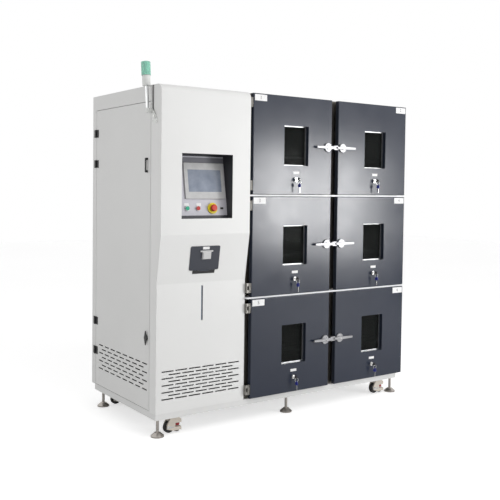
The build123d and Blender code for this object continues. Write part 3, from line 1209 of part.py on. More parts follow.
def fan_guard():
    """Shroud behind the condenser with a wire guard and a motor in its middle."""
    y0 = CONDENSER_FRONT + CONDENSER_DEPTH
    y1 = y0 + SHROUD_DEPTH
    x, z, r = (CONDENSER_LEFT + CONDENSER_RIGHT) / 2, TRAY_TOP + CONDENSER_HEIGHT / 2, FAN_RADIUS
    shroud = block(CONDENSER_LEFT, CONDENSER_RIGHT, y0, y0 + SHEET, TRAY_TOP, TRAY_TOP + CONDENSER_HEIGHT)
    shroud += rod_y(x, z, y0, y1, r + SHEET)
    shroud -= rod_y(x, z, y0, y1, r)
    shroud += rod_y(x, z, y0 + SHEET, y1, FAN_MOTOR_RADIUS)
    for i in range(FAN_GUARD_BARS):
        turn = i * 180 / FAN_GUARD_BARS
        shroud += Pos(x, y1 - SHEET / 2, z) * Rot(0, turn, 0) * Box(2 * r, SHEET, SHEET)
    return shroud


def compressor(x):
    r, h, foot = COMPRESSOR_RADIUS, COMPRESSOR_HEIGHT, COMPRESSOR_FOOT
    shell = turned([(0, foot), (r, foot), (r, h - r / 2), (r - foot, h - foot), (r / 2, h), (0, h)])
    half = r + foot
    shell += block(-half, half, -half, half, 0, foot)
    shell += block(r - foot, r + 2 * foot, -2 * foot, 2 * foot, h / 2, h - r / 2)
    return Pos(x, COMPRESSOR_Y, TRAY_TOP) * shell


def refrigeration_unit():
    x0, x1, y0, y1 = TRAY_LEFT, TRAY_RIGHT, TRAY_FRONT, TRAY_BACK
    tray = block(x0, x1, y0, y1, PANEL_BOTTOM, PANEL_BOTTOM + TRAY_RIM)
    tray -= block(x0 + SHEET, x1 - SHEET, y0 + SHEET, y1 - SHEET, TRAY_TOP, PANEL_BOTTOM + TRAY_RIM)
    receiver_z = TRAY_TOP + RECEIVER_RADIUS
    receiver = rod_x(RECEIVER_Y, receiver_z, COMPRESSOR_XS[0], COMPRESSOR_XS[1], RECEIVER_RADIUS)
    receiver = fillet(receiver.edges().filter_by(GeomType.CIRCLE), RECEIVER_RADIUS / 3)
    keep("refrigeration_unit", tray, condenser(), fan_guard(), receiver)
    for x in COMPRESSOR_XS:
        keep("refrigeration_unit", compressor(x), compressor_pipe(x, receiver_z))


def compressor_pipe(x, receiver_z):
    """Discharge pipe: up from the compressor's dome, forward, and down to the receiver."""
    top, high, r = TRAY_TOP + COMPRESSOR_HEIGHT, TRAY_TOP + PIPE_TOP, PIPE_RADIUS
    inner = x + (COMPRESSOR_RADIUS / 2 if x == COMPRESSOR_XS[0] else -COMPRESSOR_RADIUS / 2)
    pipe = rod_z(x, COMPRESSOR_Y, top, high, r) + rod_y(x, high, RECEIVER_Y, COMPRESSOR_Y, r)
    pipe += rod_x(RECEIVER_Y, high, min(x, inner), max(x, inner), r)
    pipe += rod_z(inner, RECEIVER_Y, receiver_z + RECEIVER_RADIUS, high, r)
    for corner in ((x, COMPRESSOR_Y), (x, RECEIVER_Y), (inner, RECEIVER_Y)):
        pipe += Pos(*corner, high) * Sphere(r)
    return pipe


# Partition wall with the control gear on its column side

def control_gear():
    x0, x1 = COLUMN_WIDTH + SHEET, COLUMN_WIDTH + 2 * SHEET
    wall = block(x0, x1, FRAME_FACE + FRAME_RIM, CABINET_BACK - SHEET, PANEL_BOTTOM, CABINET_TOP - SHEET)
    y0, y1, z0, z1 = GEAR_FRONT, GEAR_BACK, GEAR_BOTTOM, GEAR_TOP
    plate, upper, lower = x0 - SHEET, z1 - GEAR_PITCH, z1 - 2 * GEAR_PITCH
    keep("control_gear", wall, block(plate, x0, y0, y1, z0, z1))
    keep("control_gear", *device_row(plate, upper, BREAKER_COUNT, BREAKER_WIDTH, BREAKER_DEPTH))
    keep("control_gear", *device_row(plate, lower, CONTACTOR_COUNT, CONTACTOR_WIDTH, CONTACTOR_DEPTH))
    keep("control_gear", *[duct(plate, z1 - (i + 0.5) * GEAR_PITCH) for i in range(DUCT_COUNT)])
    left, low = y0 + DUCT_SIZE, z0 + DUCT_SIZE
    keep("control_gear", block(plate - CONTROLLER_DEPTH, plate, left, left + CONTROLLER_WIDTH, low,
                               low + CONTROLLER_HEIGHT))


def device_row(x, z, count, width, depth):
    """A mounting rail with a row of stepped devices, one solid each."""
    y0 = GEAR_FRONT + DUCT_SIZE
    rail_x, half = x - GEAR_RAIL, DEVICE_HEIGHT / 2
    pieces = [block(rail_x, x, y0, GEAR_BACK - DUCT_SIZE, z - half / 3, z + half / 3)]
    for i in range(count):
        a = y0 + i * width
        body = block(rail_x - depth / 2, rail_x, a, a + width - HOLE_CLEARANCE, z - half, z + half)
        body += block(rail_x - depth, rail_x, a, a + width - HOLE_CLEARANCE, z - half / 2, z + half / 2)
        pieces.append(body)
    return pieces


def duct(x, z):
    """Wiring duct across the gear plate."""
    return block(x - DUCT_SIZE, x, GEAR_FRONT + DUCT_SIZE, GEAR_BACK - DUCT_SIZE, z - DUCT_SIZE / 2,
                 z + DUCT_SIZE / 2)


def build():
    nodes.clear()
    for step in (base_frame, levelling_feet, casters, front_cover, signal_lamp, filler_flap, water_tank,
                 control_recess, push_buttons, emergency_stop, touch_screen, left_frame, service_door,
                 service_lock, outer_wrapper, rear_cover, face_frame, chambers, doors, door_fittings,
                 latch_levers, locks, refrigeration_unit, control_gear):
        step()


def solids_of(name):
    return [solid for piece in nodes[name] for solid in piece.solids()]


def origin_shift():
    """Moves the drawing so that the origin lies under the middle of the whole object's box."""
    box = Compound([solid for name in nodes for solid in solids_of(name)]).bounding_box()
    return -(box.min.X + box.max.X) / 2, -(box.min.Y + box.max.Y) / 2, -box.min.Z


def main():
    build()
    shift = Pos(*origin_shift())
    os.makedirs("parts", exist_ok=True)
    for name in nodes:
        export_step(Compound([shift * solid for solid in solids_of(name)]), f"parts/{name}.step")
    print(len(nodes), "nodes,", sum(len(solids_of(name)) for name in nodes), "solids")


if __name__ == "__main__":
    main()
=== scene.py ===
# %% [markdown]
# This lesson dresses a floor-standing cabinet with six small test chambers. The cabinet's solids come
# from the CAD frame in metres, already in their places, so every step here only adds finishes and the
# small trim that a fitter would add last: plates, screws, labels and threads.

import math

import bmesh
import bpy
from mathutils import Matrix, Vector


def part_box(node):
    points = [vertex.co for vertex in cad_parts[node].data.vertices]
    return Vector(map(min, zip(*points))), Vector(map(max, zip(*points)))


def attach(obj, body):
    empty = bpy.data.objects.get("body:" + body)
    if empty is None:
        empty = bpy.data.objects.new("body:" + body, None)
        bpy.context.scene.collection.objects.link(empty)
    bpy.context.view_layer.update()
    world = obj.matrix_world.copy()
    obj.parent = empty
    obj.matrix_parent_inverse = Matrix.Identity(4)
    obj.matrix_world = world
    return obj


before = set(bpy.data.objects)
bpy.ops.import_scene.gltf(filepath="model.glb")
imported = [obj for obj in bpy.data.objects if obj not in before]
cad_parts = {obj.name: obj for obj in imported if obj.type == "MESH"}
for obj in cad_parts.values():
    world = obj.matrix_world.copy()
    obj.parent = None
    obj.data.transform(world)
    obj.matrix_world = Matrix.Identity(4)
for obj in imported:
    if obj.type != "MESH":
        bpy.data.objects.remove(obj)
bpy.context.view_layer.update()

# %% [markdown]
# The cabinet was drawn in millimetres, with X from the left side of its column, Y from the front face of
# its doors and Z from the floor. The frame has moved that drawing so that its middle is at zero. Reading
# two known faces back gives the way between them, so that later steps can be written with workshop sizes.

# %% From drawing millimetres to the frame
SIDES, ROWS = ("left", "right"), ("lower", "middle", "upper")
CABINET_WIDTH, CABINET_BACK, BASE_INSET = 1793, 849, 2
DOOR_BOTTOM, DOOR_HEIGHT, ROW_PITCH = 136, 573, 584.5
DOOR_EDGES = {"left": (597, 1179), "right": (1232, 1814)}
POST_CENTRE = 1205.5
SLOPE_MIDDLE, SLOPE_LEAN, SLOPE_RISE = (284, 3.5, 955.5), 0.15403, 0.98806
PANEL_MIDDLE, PANEL_LEAN, PANEL_RISE = (287.5, 60.5, 1347.5), 0.16119, 0.98692
zero = Vector((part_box("base_frame")[0].x - BASE_INSET / 1000,
               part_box("rear_cover")[1].y - CABINET_BACK / 1000, 0))


def mm(x, y, z):
    return zero + Vector((x, y, z)) / 1000


def drawn(point):
    return (point - zero) * 1000


print("drawing zero lies at", [round(v, 4) for v in zero])

# %% [markdown]
# A painted sheet is never one flat colour. Powder coat has a fine orange peel that breaks up highlights,
# and its tone drifts slightly over a large panel. Two noise textures do it: a large soft one moves the
# colour and the gloss, and a fine one drives a bump. Both read Object coordinates, which are metres here.

# %% Helpers for finishes
finishes = {}


def new_finish(name, roughness, metallic=0.0):
    mat = bpy.data.materials.new(name)
    mat.use_nodes = True
    shader = mat.node_tree.nodes["Principled BSDF"]
    shader.inputs["Roughness"].default_value = roughness
    shader.inputs["Metallic"].default_value = metallic
    finishes[name] = mat
    return mat


def add(mat, kind, **values):
    node = mat.node_tree.nodes.new("ShaderNode" + kind)
    for key, value in values.items():
        setattr(node, key, value)
    return node


def join(mat, source, out, target, into):
    mat.node_tree.links.new(source.outputs[out], target.inputs[into])


def noise(mat, scale, detail=2.0, stretch=(1, 1, 1)):
    place = add(mat, "TexCoord")
    mapping = add(mat, "Mapping")
    mapping.inputs["Scale"].default_value = stretch
    texture = add(mat, "TexNoise")
    texture.inputs["Scale"].default_value = scale
    texture.inputs["Detail"].default_value = detail
    join(mat, place, "Object", mapping, "Vector")
    join(mat, mapping, "Vector", texture, "Vector")
    return texture


def tone(mat, dark, light, texture):
    """Colour that drifts between two tones with a texture."""
    ramp = add(mat, "ValToRGB")
    ramp.color_ramp.elements[0].position = 0.3
    ramp.color_ramp.elements[1].position = 0.7
    ramp.color_ramp.elements[0].color = (*dark, 1)
    ramp.color_ramp.elements[1].color = (*light, 1)
    join(mat, texture, "Fac", ramp, "Fac")
    join(mat, ramp, "Color", mat.node_tree.nodes["Principled BSDF"], "Base Color")


def gloss(mat, low, high, texture):
    """Roughness that drifts between two values with a texture."""
    spread = add(mat, "MapRange")
    spread.inputs["To Min"].default_value = low
    spread.inputs["To Max"].default_value = high
    join(mat, texture, "Fac", spread, "Value")
    join(mat, spread, "Result", mat.node_tree.nodes["Principled BSDF"], "Roughness")


def relief(mat, texture, strength, height):
    """Bump from a texture, with its height in metres."""
    bump = add(mat, "Bump")
    bump.inputs["Strength"].default_value = strength
    bump.inputs["Distance"].default_value = height
    join(mat, texture, "Fac", bump, "Height")
    join(mat, bump, "Normal", mat.node_tree.nodes["Principled BSDF"], "Normal")


# %% Painted steel
def painted(name, color, drift, roughness, peel=0.25):
    mat = new_finish(name, roughness)
    broad = noise(mat, 2.2, 3.0)
    tone(mat, [c * (1 - drift) for c in color], [min(1, c * (1 + drift)) for c in color], broad)
    gloss(mat, roughness - 0.05, roughness + 0.06, noise(mat, 9.0, 4.0))
    relief(mat, noise(mat, 620.0, 1.5), peel, 0.0004)


painted("column_white", (0.81, 0.81, 0.80), 0.015, 0.42)
# The other panels carry the column's white a little darker: painted shade, a shaded copy of the same paint.
painted("shaded_white", (0.77, 0.77, 0.76), 0.02, 0.45)
painted("base_white", (0.76, 0.76, 0.75), 0.02, 0.46)
painted("strip_white", (0.82, 0.83, 0.85), 0.01, 0.35)
painted("door_slate", (0.018, 0.024, 0.042), 0.06, 0.22, 0.08)
painted("recess_slate", (0.030, 0.031, 0.038), 0.06, 0.5)
painted("flap_slate", (0.032, 0.036, 0.050), 0.05, 0.4)
painted("black_coat", (0.012, 0.012, 0.013), 0.2, 0.42)
painted("compressor_black", (0.016, 0.016, 0.017), 0.25, 0.3)
print(len(finishes), "painted finishes")

# %% [markdown]
# Stainless sheet is brushed along one direction. Noise stretched a hundred times along the grain gives
# fine streaks that change the gloss more than the colour, which is what makes a brushed surface glow in
# bands. Plated and polished parts get the same idea with hardly any stretch and a smoother surface. The
# chambers' steel is darker than bare stainless, because it is seen through the panes, in deep shade.


# %% Bare metals
def metal(name, color, roughness, stretch=(1, 1, 1), scale=90.0, strength=0.12):
    mat = new_finish(name, roughness, 1.0)
    streaks = noise(mat, scale, 6.0, stretch)
    tone(mat, [c * 0.9 for c in color], [min(1, c * 1.06) for c in color], streaks)
    gloss(mat, roughness * 0.75, min(1, roughness * 1.3), streaks)
    relief(mat, streaks, strength, 0.0002)


metal("brushed_steel", (0.56, 0.56, 0.55), 0.34, (0.03, 1, 4))
# The face frame's steel is painted dark: painted shade, for the shade deep in the gaps between the doors.
metal("shaded_frame_steel", (0.30, 0.285, 0.26), 0.38, (4, 4, 0.05))
metal("plated", (0.74, 0.74, 0.73), 0.2, scale=160.0)
metal("chamber_steel", (0.17, 0.17, 0.165), 0.5, (0.03, 1, 4))
metal("hinge_steel", (0.30, 0.29, 0.27), 0.42, scale=110.0)
metal("satin_chrome", (0.31, 0.31, 0.32), 0.36, scale=220.0)
metal("foot_steel", (0.46, 0.43, 0.40), 0.3, scale=130.0)
metal("galvanised", (0.52, 0.53, 0.54), 0.45, scale=34.0, strength=0.3)
metal("fin_aluminium", (0.68, 0.69, 0.70), 0.4, (1, 1, 0.1))
metal("copper", (0.72, 0.34, 0.20), 0.3, scale=60.0)
metal("dark_handle", (0.10, 0.10, 0.10), 0.34, scale=120.0)
metal("pole_grey", (0.72, 0.73, 0.73), 0.3, (4, 4, 0.1))
print(len(finishes), "finishes with the metals")

# %% [markdown]
# Moulded plastics scatter a little light below their skin and carry a faint sparked texture from the
# mould. Rubber is darker, rougher and dusty on its high spots. The same helpers make both.


# %% Plastics and rubber
def moulded(name, color, roughness, texture=0.15, size=420.0, dust=0.06):
    mat = new_finish(name, roughness)
    tone(mat, [c * (1 - dust) for c in color], [min(1, c * (1 + dust)) for c in color], noise(mat, 38.0, 3.0))
    gloss(mat, roughness - 0.04, roughness + 0.08, noise(mat, 70.0, 2.0))
    relief(mat, noise(mat, size, 2.0), texture, 0.0003)


moulded("caster_cream", (0.66, 0.60, 0.52), 0.42)
moulded("thumb_red", (0.36, 0.03, 0.035), 0.35)
moulded("tread_black", (0.018, 0.018, 0.018), 0.6, 0.4, 260.0, 0.25)
moulded("gasket_black", (0.014, 0.014, 0.014), 0.65, 0.5, 500.0, 0.25)
moulded("button_green", (0.02, 0.40, 0.24), 0.28)
moulded("button_red", (0.50, 0.035, 0.035), 0.28)
moulded("stop_red", (0.62, 0.05, 0.03), 0.3)
moulded("stop_yellow", (0.85, 0.68, 0.02), 0.36)
moulded("screen_shell", (0.56, 0.56, 0.56), 0.42)
moulded("lamp_white", (0.78, 0.79, 0.77), 0.35)
moulded("key_blue", (0.035, 0.045, 0.30), 0.3)
moulded("label_white", (0.86, 0.86, 0.86), 0.5, 0.05)
moulded("ink_grey", (0.10, 0.10, 0.11), 0.6, 0.05)
moulded("device_grey", (0.52, 0.53, 0.54), 0.45)
moulded("device_dark", (0.05, 0.05, 0.055), 0.45)
moulded("duct_grey", (0.34, 0.36, 0.38), 0.5)
moulded("catch_grey", (0.60, 0.60, 0.60), 0.32)
moulded("socket_black", (0.02, 0.02, 0.02), 0.4)
print(len(finishes), "finishes with the plastics")

# %% [markdown]
# Glass and clear plastic let light through, so their colour sits in a thin tint and their look comes
# from what stands behind them. Uniform numbers go straight on the shader's own sockets. A faint noise on
# the roughness stands for the wiping marks that every window has. The door panes bend light hardly more
# than air does, so that they show the chamber behind them and don't mirror the studio's soft boxes.


# %% Clear parts
def clear(name, color, roughness, passing, ior=1.5, smear=0.03):
    mat = new_finish(name, roughness)
    shader = mat.node_tree.nodes["Principled BSDF"]
    shader.inputs["Transmission Weight"].default_value = passing
    shader.inputs["IOR"].default_value = ior
    tone(mat, [c * 0.96 for c in color], [min(1, c * 1.03) for c in color], noise(mat, 6.0, 3.0))
    gloss(mat, roughness, roughness + smear, noise(mat, 14.0, 5.0, (1, 1, 3)))


clear("window_glass", (0.15, 0.16, 0.155), 0.02, 0.92, 1.04)
clear("lens_mint", (0.42, 0.86, 0.70), 0.12, 0.45, 1.46)
clear("tank_clear", (0.86, 0.90, 0.92), 0.35, 0.5, 1.46)
clear("level_tube", (0.30, 0.36, 0.48), 0.1, 0.6, 1.46)


def screen_finish():
    """A dark, softly reflecting display with a faint cool glow drifting over it."""
    mat = new_finish("display", 0.16)
    cloud = noise(mat, 11.0, 4.0)
    tone(mat, (0.15, 0.18, 0.24), (0.31, 0.35, 0.43), cloud)
    gloss(mat, 0.12, 0.2, noise(mat, 30.0, 2.0))
    mat.node_tree.nodes["Principled BSDF"].inputs["Coat Weight"].default_value = 0.4


screen_finish()
print(len(finishes), "finishes in all")

# %% [markdown]
# A CAD node may hold several solids of different make, such as a painted door pan with its stainless
# liner and a plated lock barrel. Its mesh stays as it is. Each face only gets the number of a material
# slot, chosen from where the face's middle lies in the drawing.


# %% Dress a node by place
def dress(node, base, *rules):
    """Gives a node its base finish, and a rule's finish where its test of a face's middle holds."""
    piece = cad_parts[node]
    piece.data.materials.clear()
    for name in (base, *[rule[0] for rule in rules]):
        piece.data.materials.append(finishes[name])
    for face in piece.data.polygons:
        spot = drawn(face.center)
        hits = [number for number, rule in enumerate(rules, 1) if rule[1](spot)]
        face.material_index = hits[0] if hits else 0


# %% Cabinet shell and base
dress("base_frame", "base_white", ("plated", lambda p: p.z < 97.9))
dress("outer_wrapper", "shaded_white")
dress("rear_cover", "shaded_white")
dress("left_frame", "shaded_white", ("black_coat", lambda p: p.x < -0.01))
dress("face_frame", "shaded_frame_steel", ("strip_white", lambda p: p.y < 45.9))
print("shell dressed")

# %% [markdown]
# The slope of the front cover leans by about nine degrees, and so do the flap on it and its hinge. A
# small helper turns a point into the slope's own height and stand-off, which makes the rules plain.


# %% Front cover, flap and tank
FLAP_RISE = 2
TANK_SHELF = 590


def on_slope(p):
    """Offset across, up and out of the sloped face, in millimetres from the flap's middle."""
    dx, dy, dz = p - Vector(SLOPE_MIDDLE)
    up, out = dz * SLOPE_RISE - dy * SLOPE_LEAN, -dy * SLOPE_RISE - dz * SLOPE_LEAN
    return dx, up - FLAP_RISE, out


def flap_hinge_spot(p):
    x, up, out = on_slope(p)
    return abs(x) < 71 and -90 < up < -66 and 0.2 < out < 8


def flap_catch_spot(p):
    return on_slope(p)[2] > 3.35 and on_slope(p)[1] > -30


dress("front_cover", "column_white",
      ("plated", lambda p: p.x < -8),
      ("lamp_white", lambda p: p.x < -0.01),
      ("black_coat", flap_hinge_spot))
dress("filler_flap", "flap_slate", ("catch_grey", flap_catch_spot))
dress("water_tank", "tank_clear",
      ("galvanised", lambda p: p.z < TANK_SHELF + 0.01),
      ("level_tube", lambda p: abs(p.x - 283) < 7.2 and p.y < 41))
print("front cover dressed")


# %% Control recess, screen and buttons
BUTTON_DROP = 123
RECESS_FOOT, RECESS_HEAD = 1.17, 1.52
# The sheet's colour bands by height are painted light and shade: the dark sill and the dark bands over the
# screen and above the fold are painted shade, the pale bands are painted light.
SILL_SHADE = (0.04, 0.04, 0.05)
PANEL_SHADE_BANDS = ((0.05, (0.60, 0.59, 0.64)), (0.871, (0.22, 0.22, 0.25)), (0.955, (0.62, 0.62, 0.68)),
               (0.976, (0.05, 0.05, 0.06)))


def on_panel(p):
    """Offset across, up and out of the leaning panel, in millimetres from its middle."""
    dx, dy, dz = p - Vector(PANEL_MIDDLE)
    return dx, dy * PANEL_LEAN + dz * PANEL_RISE, dz * PANEL_LEAN - dy * PANEL_RISE


def near_button(p, x, reach):
    across, up, out = on_panel(p)
    return out > 0.05 and math.hypot(across - x, up + BUTTON_DROP) < reach


def on_display(p):
    across, up, out = on_panel(p)
    return 5.9 < out < 7.2 and abs(across - 26) < 105 and abs(up - 29) < 61


def panel_finish():
    """The leaning sheet with light and shade painted in bands: a shaded sill, lit at the buttons, shaded over
    the screen, a painted highlight on the fold.
    """
    mat = new_finish("panel_light_and_shade", 0.4)
    place, split = add(mat, "TexCoord"), add(mat, "SeparateXYZ")
    height, ramp = add(mat, "MapRange"), add(mat, "ValToRGB")
    height.inputs["From Min"].default_value = RECESS_FOOT
    height.inputs["From Max"].default_value = RECESS_HEAD
    join(mat, place, "Object", split, "Vector")
    join(mat, split, "Z", height, "Value")
    join(mat, height, "Result", ramp, "Fac")
    ramp.color_ramp.interpolation = "CONSTANT"
    ramp.color_ramp.elements.remove(ramp.color_ramp.elements[1])
    ramp.color_ramp.elements[0].color = (*SILL_SHADE, 1)
    for spot, color in PANEL_SHADE_BANDS:
        stop = ramp.color_ramp.elements.new(spot)
        stop.color = (*color, 1)
    join(mat, ramp, "Color", mat.node_tree.nodes["Principled BSDF"], "Base Color")
    gloss(mat, 0.34, 0.46, noise(mat, 20.0, 3.0))
    relief(mat, noise(mat, 620.0, 1.5), 0.2, 0.0003)


panel_finish()
dress("control_recess", "recess_slate",
      ("stop_yellow", lambda p: near_button(p, 65, 30.5)),
      ("plated", lambda p: near_button(p, -95, 15) or near_button(p, -27, 15)),
      ("socket_black", lambda p: near_button(p, 128, 12)),
      ("panel_light_and_shade", lambda p: abs(on_panel(p)[2]) < 0.05))
dress("touch_screen", "screen_shell", ("display", on_display))
dress("green_button", "button_green", ("socket_black", lambda p: on_panel(p)[2] < 3.9))
dress("red_button", "button_red", ("socket_black", lambda p: on_panel(p)[2] < 3.9))
dress("emergency_stop", "stop_red", ("socket_black", lambda p: on_panel(p)[2] < 14.3))
print("control recess dressed")


# %% Signal lamp and service door
LAMP_PIVOT_Y, LAMP_PIVOT_Z = 48, 1712
POLE_OUT, POLE_BACK, POLE_LEAN = 30, 29, math.radians(5.6)


def on_lamp(p):
    """Distance from the leaning pole's axis, and height along it from the pivot."""
    dy, dz = p.y - LAMP_PIVOT_Y, p.z - LAMP_PIVOT_Z
    across = dy * math.cos(POLE_LEAN) - dz * math.sin(POLE_LEAN) - POLE_BACK
    return math.hypot(p.x + POLE_OUT, across), dy * math.sin(POLE_LEAN) + dz * math.cos(POLE_LEAN)


dress("signal_lamp", "lamp_white",
      ("lens_mint", lambda p: on_lamp(p)[1] > 218.01 and on_lamp(p)[0] > 10),
      ("lens_mint", lambda p: on_lamp(p)[1] > 286),
      ("pole_grey", lambda p: on_lamp(p)[0] < 8.6 and 46 < on_lamp(p)[1] < 164))
dress("service_door", "shaded_white", ("black_coat", lambda p: p.x < -0.01))
dress("service_lock", "dark_handle")
print("lamp and service door dressed")

# %% Doors, panes, latches and locks
WINDOW_OFFSET, LOCK_DROP, SPARE_KEY_DROP, KEY_OUT = 20, 198, 32.8, 32.5
row_middle = {row: DOOR_BOTTOM + DOOR_HEIGHT / 2 + ROWS.index(row) * ROW_PITCH for row in ROWS}
each_door = [(side, row) for row in ROWS for side in SIDES]


def dress_door(side, row):
    low, high = DOOR_EDGES[side]
    cx = (low + high) / 2
    lock_x, lock_z = cx + WINDOW_OFFSET, row_middle[row] - LOCK_DROP
    spare_z = lock_z - SPARE_KEY_DROP
    dress(f"door_{row}_{side}", "door_slate",
          ("plated", lambda p: math.hypot(p.x - lock_x, p.z - lock_z) < 12.6),
          ("hinge_steel", lambda p: p.x < low - 0.01 or (p.y > 28.01 and abs(p.x - cx) > 225)),
          ("brushed_steel", lambda p: p.y > 26.4))
    dress(f"lock_{row}_{side}", "plated",
          ("device_dark", lambda p: p.y < -14.6 and abs(p.z - lock_z) < 12.3 and abs(p.x - lock_x) < 1.4),
          ("key_blue", lambda p: abs(p.z - spare_z) < 12.2 and abs(p.x - lock_x) < 1.4
           and abs(p.y + KEY_OUT) < 12.2))


for side, row in each_door:
    dress_door(side, row)
    dress(f"glass_{row}_{side}", "window_glass")
    dress(f"lever_{row}_{side}", "satin_chrome")
dress("door_fittings", "hinge_steel", ("satin_chrome", lambda p: abs(p.x - POST_CENTRE) < 25))
dress("door_gaskets", "gasket_black")
dress("chamber_liners", "chamber_steel")
dress("chamber_racks", "chamber_steel")
print("doors dressed")


# %% Feet and casters
def dress_caster(place, trail=26, bolt_radius=5.3, hub_radius=22.9):
    low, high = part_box(f"wheel_{place}")
    axle = drawn((low + high) / 2)
    thumb_wheel = axle.x + trail + 4.2

    def from_axle(p):
        return math.hypot(p.x - axle.x, p.z - axle.z)

    dress(f"caster_{place}", "caster_cream",
          ("plated", lambda p: p.z > 86.8 or from_axle(p) < bolt_radius),
          ("device_dark", lambda p: p.z < 14.6),
          ("thumb_red", lambda p: 35.2 < p.z < 56.8 and p.x > thumb_wheel))
    dress(f"wheel_{place}", "tread_black", ("device_dark", lambda p: from_axle(p) < hub_radius))


for place in ("front_left", "front_right", "rear_left", "rear_right"):
    dress_caster(place)
for place in ("left", "middle", "right"):
    dress(f"foot_front_{place}", "foot_steel")
    dress(f"foot_rear_{place}", "foot_steel")
print("feet and casters dressed")

# %% Machine bay and control gear
TRAY_LOW, TRAY_HIGH = (28.1, 92.1), (563.9, 817.9)
COMPRESSORS, COMPRESSOR_Y = (170, 410), 660
DUCT_HEIGHTS = (1685, 1475, 1265)
GEAR_WALL = 568


def tray_spot(p):
    rim = p.x < TRAY_LOW[0] or p.x > TRAY_HIGH[0] or p.y < TRAY_LOW[1] or p.y > TRAY_HIGH[1]
    return p.z < 134.1 or (p.z < 154.1 and rim)


def compressor_spot(p):
    pipe = min(math.hypot(p.x - x, p.y - COMPRESSOR_Y) for x in COMPRESSORS)
    return pipe > 6 and p.z < 364.1 and p.y > 560


def duct_spot(p):
    return p.x > 527.9 and any(abs(p.z - z) < 20.1 for z in DUCT_HEIGHTS)


dress("refrigeration_unit", "copper",
      ("galvanised", tray_spot),
      ("fin_aluminium", lambda p: p.y < 156.1),
      ("black_coat", lambda p: p.y < 189),
      ("compressor_black", compressor_spot),
      ("compressor_black", lambda p: abs(p.y - 400) < 46 and p.z < 224.2))
dress("control_gear", "device_grey",
      ("galvanised", lambda p: p.x > GEAR_WALL + 0.1),
      ("duct_grey", duct_spot),
      ("device_dark", lambda p: p.z < 1231 and p.x < GEAR_WALL - 0.1))
print("machine bay dressed")

# %% [markdown]
# Trim is built flat, on its own little drawing board, and then stood on the face that carries it. The
# board is a matrix whose X runs across the face, Y up it and Z out of it, so one recipe for a plate or a
# screw serves the doors, the slope, the leaning panel and the cabinet's sides.


# %% Boards on the object's faces
def board(place, across, up):
    out = Vector(across).cross(Vector(up))
    turn = Matrix((Vector(across), Vector(up), out)).transposed().to_4x4()
    return Matrix.Translation(place) @ turn


def door_board(x, z, y=0):
    return board(mm(x, y, z), (1, 0, 0), (0, 0, 1))


def left_board(y, z, x):
    return board(mm(x, y, z), (0, -1, 0), (0, 0, 1))


def right_board(y, z, x=CABINET_WIDTH):
    return board(mm(x, y, z), (0, 1, 0), (0, 0, 1))


def rear_board(x, z):
    return board(mm(x, CABINET_BACK, z), (-1, 0, 0), (0, 0, 1))


def slope_board(across, up, out):
    lean = board(mm(*SLOPE_MIDDLE), (1, 0, 0), (0, -SLOPE_LEAN, SLOPE_RISE))
    return lean @ Matrix.Translation(Vector((across, up + FLAP_RISE, out)) / 1000)


def panel_board(across, up):
    lean = board(mm(*PANEL_MIDDLE), (1, 0, 0), (0, PANEL_LEAN, PANEL_RISE))
    return lean @ Matrix.Translation(Vector((across, up, 0)) / 1000)


def put(name, shape, finish, body, smooth=False):
    """Turns a finished bmesh into an object at the origin that rides on a body."""
    bmesh.ops.remove_doubles(shape, verts=shape.verts, dist=1e-7)
    bmesh.ops.recalc_face_normals(shape, faces=shape.faces)
    mesh = bpy.data.meshes.new(name)
    shape.to_mesh(mesh)
    shape.free()
    mesh.materials.append(finishes[finish])
    if smooth:
        mesh.shade_smooth()
    piece = bpy.data.objects.new(name, mesh)
    bpy.context.scene.collection.objects.link(piece)
    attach(piece, body)


# %% [markdown]
# A printed label or an engraved plate is a thin slab with rounded corners and a broken front edge. The
# slab starts as a cube, its four upright edges are bevelled into corners, and a second small bevel on the
# front rim catches the light that makes a thin plate readable.


# %% Plates
def slab(shape, width, height, thick, corner, rim):
    w, h, t, c = width / 1000, height / 1000, thick / 1000, corner / 1000
    made = bmesh.ops.create_cube(shape, size=1.0)["verts"]
    bmesh.ops.scale(shape, vec=(w, h, t), verts=made)
    bmesh.ops.translate(shape, vec=(0, 0, t / 2), verts=made)
    edges = {e for v in made for e in v.link_edges}
    upright = [e for e in edges if abs(e.verts[0].co.z - e.verts[1].co.z) > t / 2]
    cut = bmesh.ops.bevel(shape, geom=upright, offset=c, offset_type="OFFSET", affect="EDGES", segments=4,
                          profile=0.5, material=-1)
    made = list({v for v in made if v.is_valid} | {v for f in cut["faces"] for v in f.verts})
    front = [e for v in made for e in v.link_edges if min(e.verts[0].co.z, e.verts[1].co.z) > t * 0.9]
    bmesh.ops.bevel(shape, geom=list(set(front)), offset=rim / 1000, offset_type="OFFSET", affect="EDGES",
                    segments=2, profile=0.5, material=-1)


def plate(name, place, width, height, finish, body, thick=0.8, corner=1.5, rim=0.25):
    shape = bmesh.new()
    slab(shape, width, height, thick, corner, rim)
    bmesh.ops.transform(shape, matrix=place, verts=shape.verts)
    put(name, shape, finish, body)


def numeral(name, text, place, height, finish, body, lift=0.8):
    """A plain raised number, made a mesh before it is placed."""
    writing = bpy.data.curves.new(name, "FONT")
    writing.body, writing.size = text, height / 1000 * 1.4
    writing.align_x, writing.align_y = "CENTER", "CENTER"
    writing.extrude = 0.0001
    flat = bpy.data.objects.new(name + "_outline", writing)
    bpy.context.scene.collection.objects.link(flat)
    bpy.context.view_layer.update()
    mesh = bpy.data.meshes.new_from_object(flat.evaluated_get(bpy.context.evaluated_depsgraph_get()))
    bpy.data.objects.remove(flat)
    shape = bmesh.new()
    shape.from_mesh(mesh)
    bmesh.ops.transform(shape, matrix=place @ Matrix.Translation((0, 0, lift / 1000)), verts=shape.verts)
    put(name, shape, finish, body)


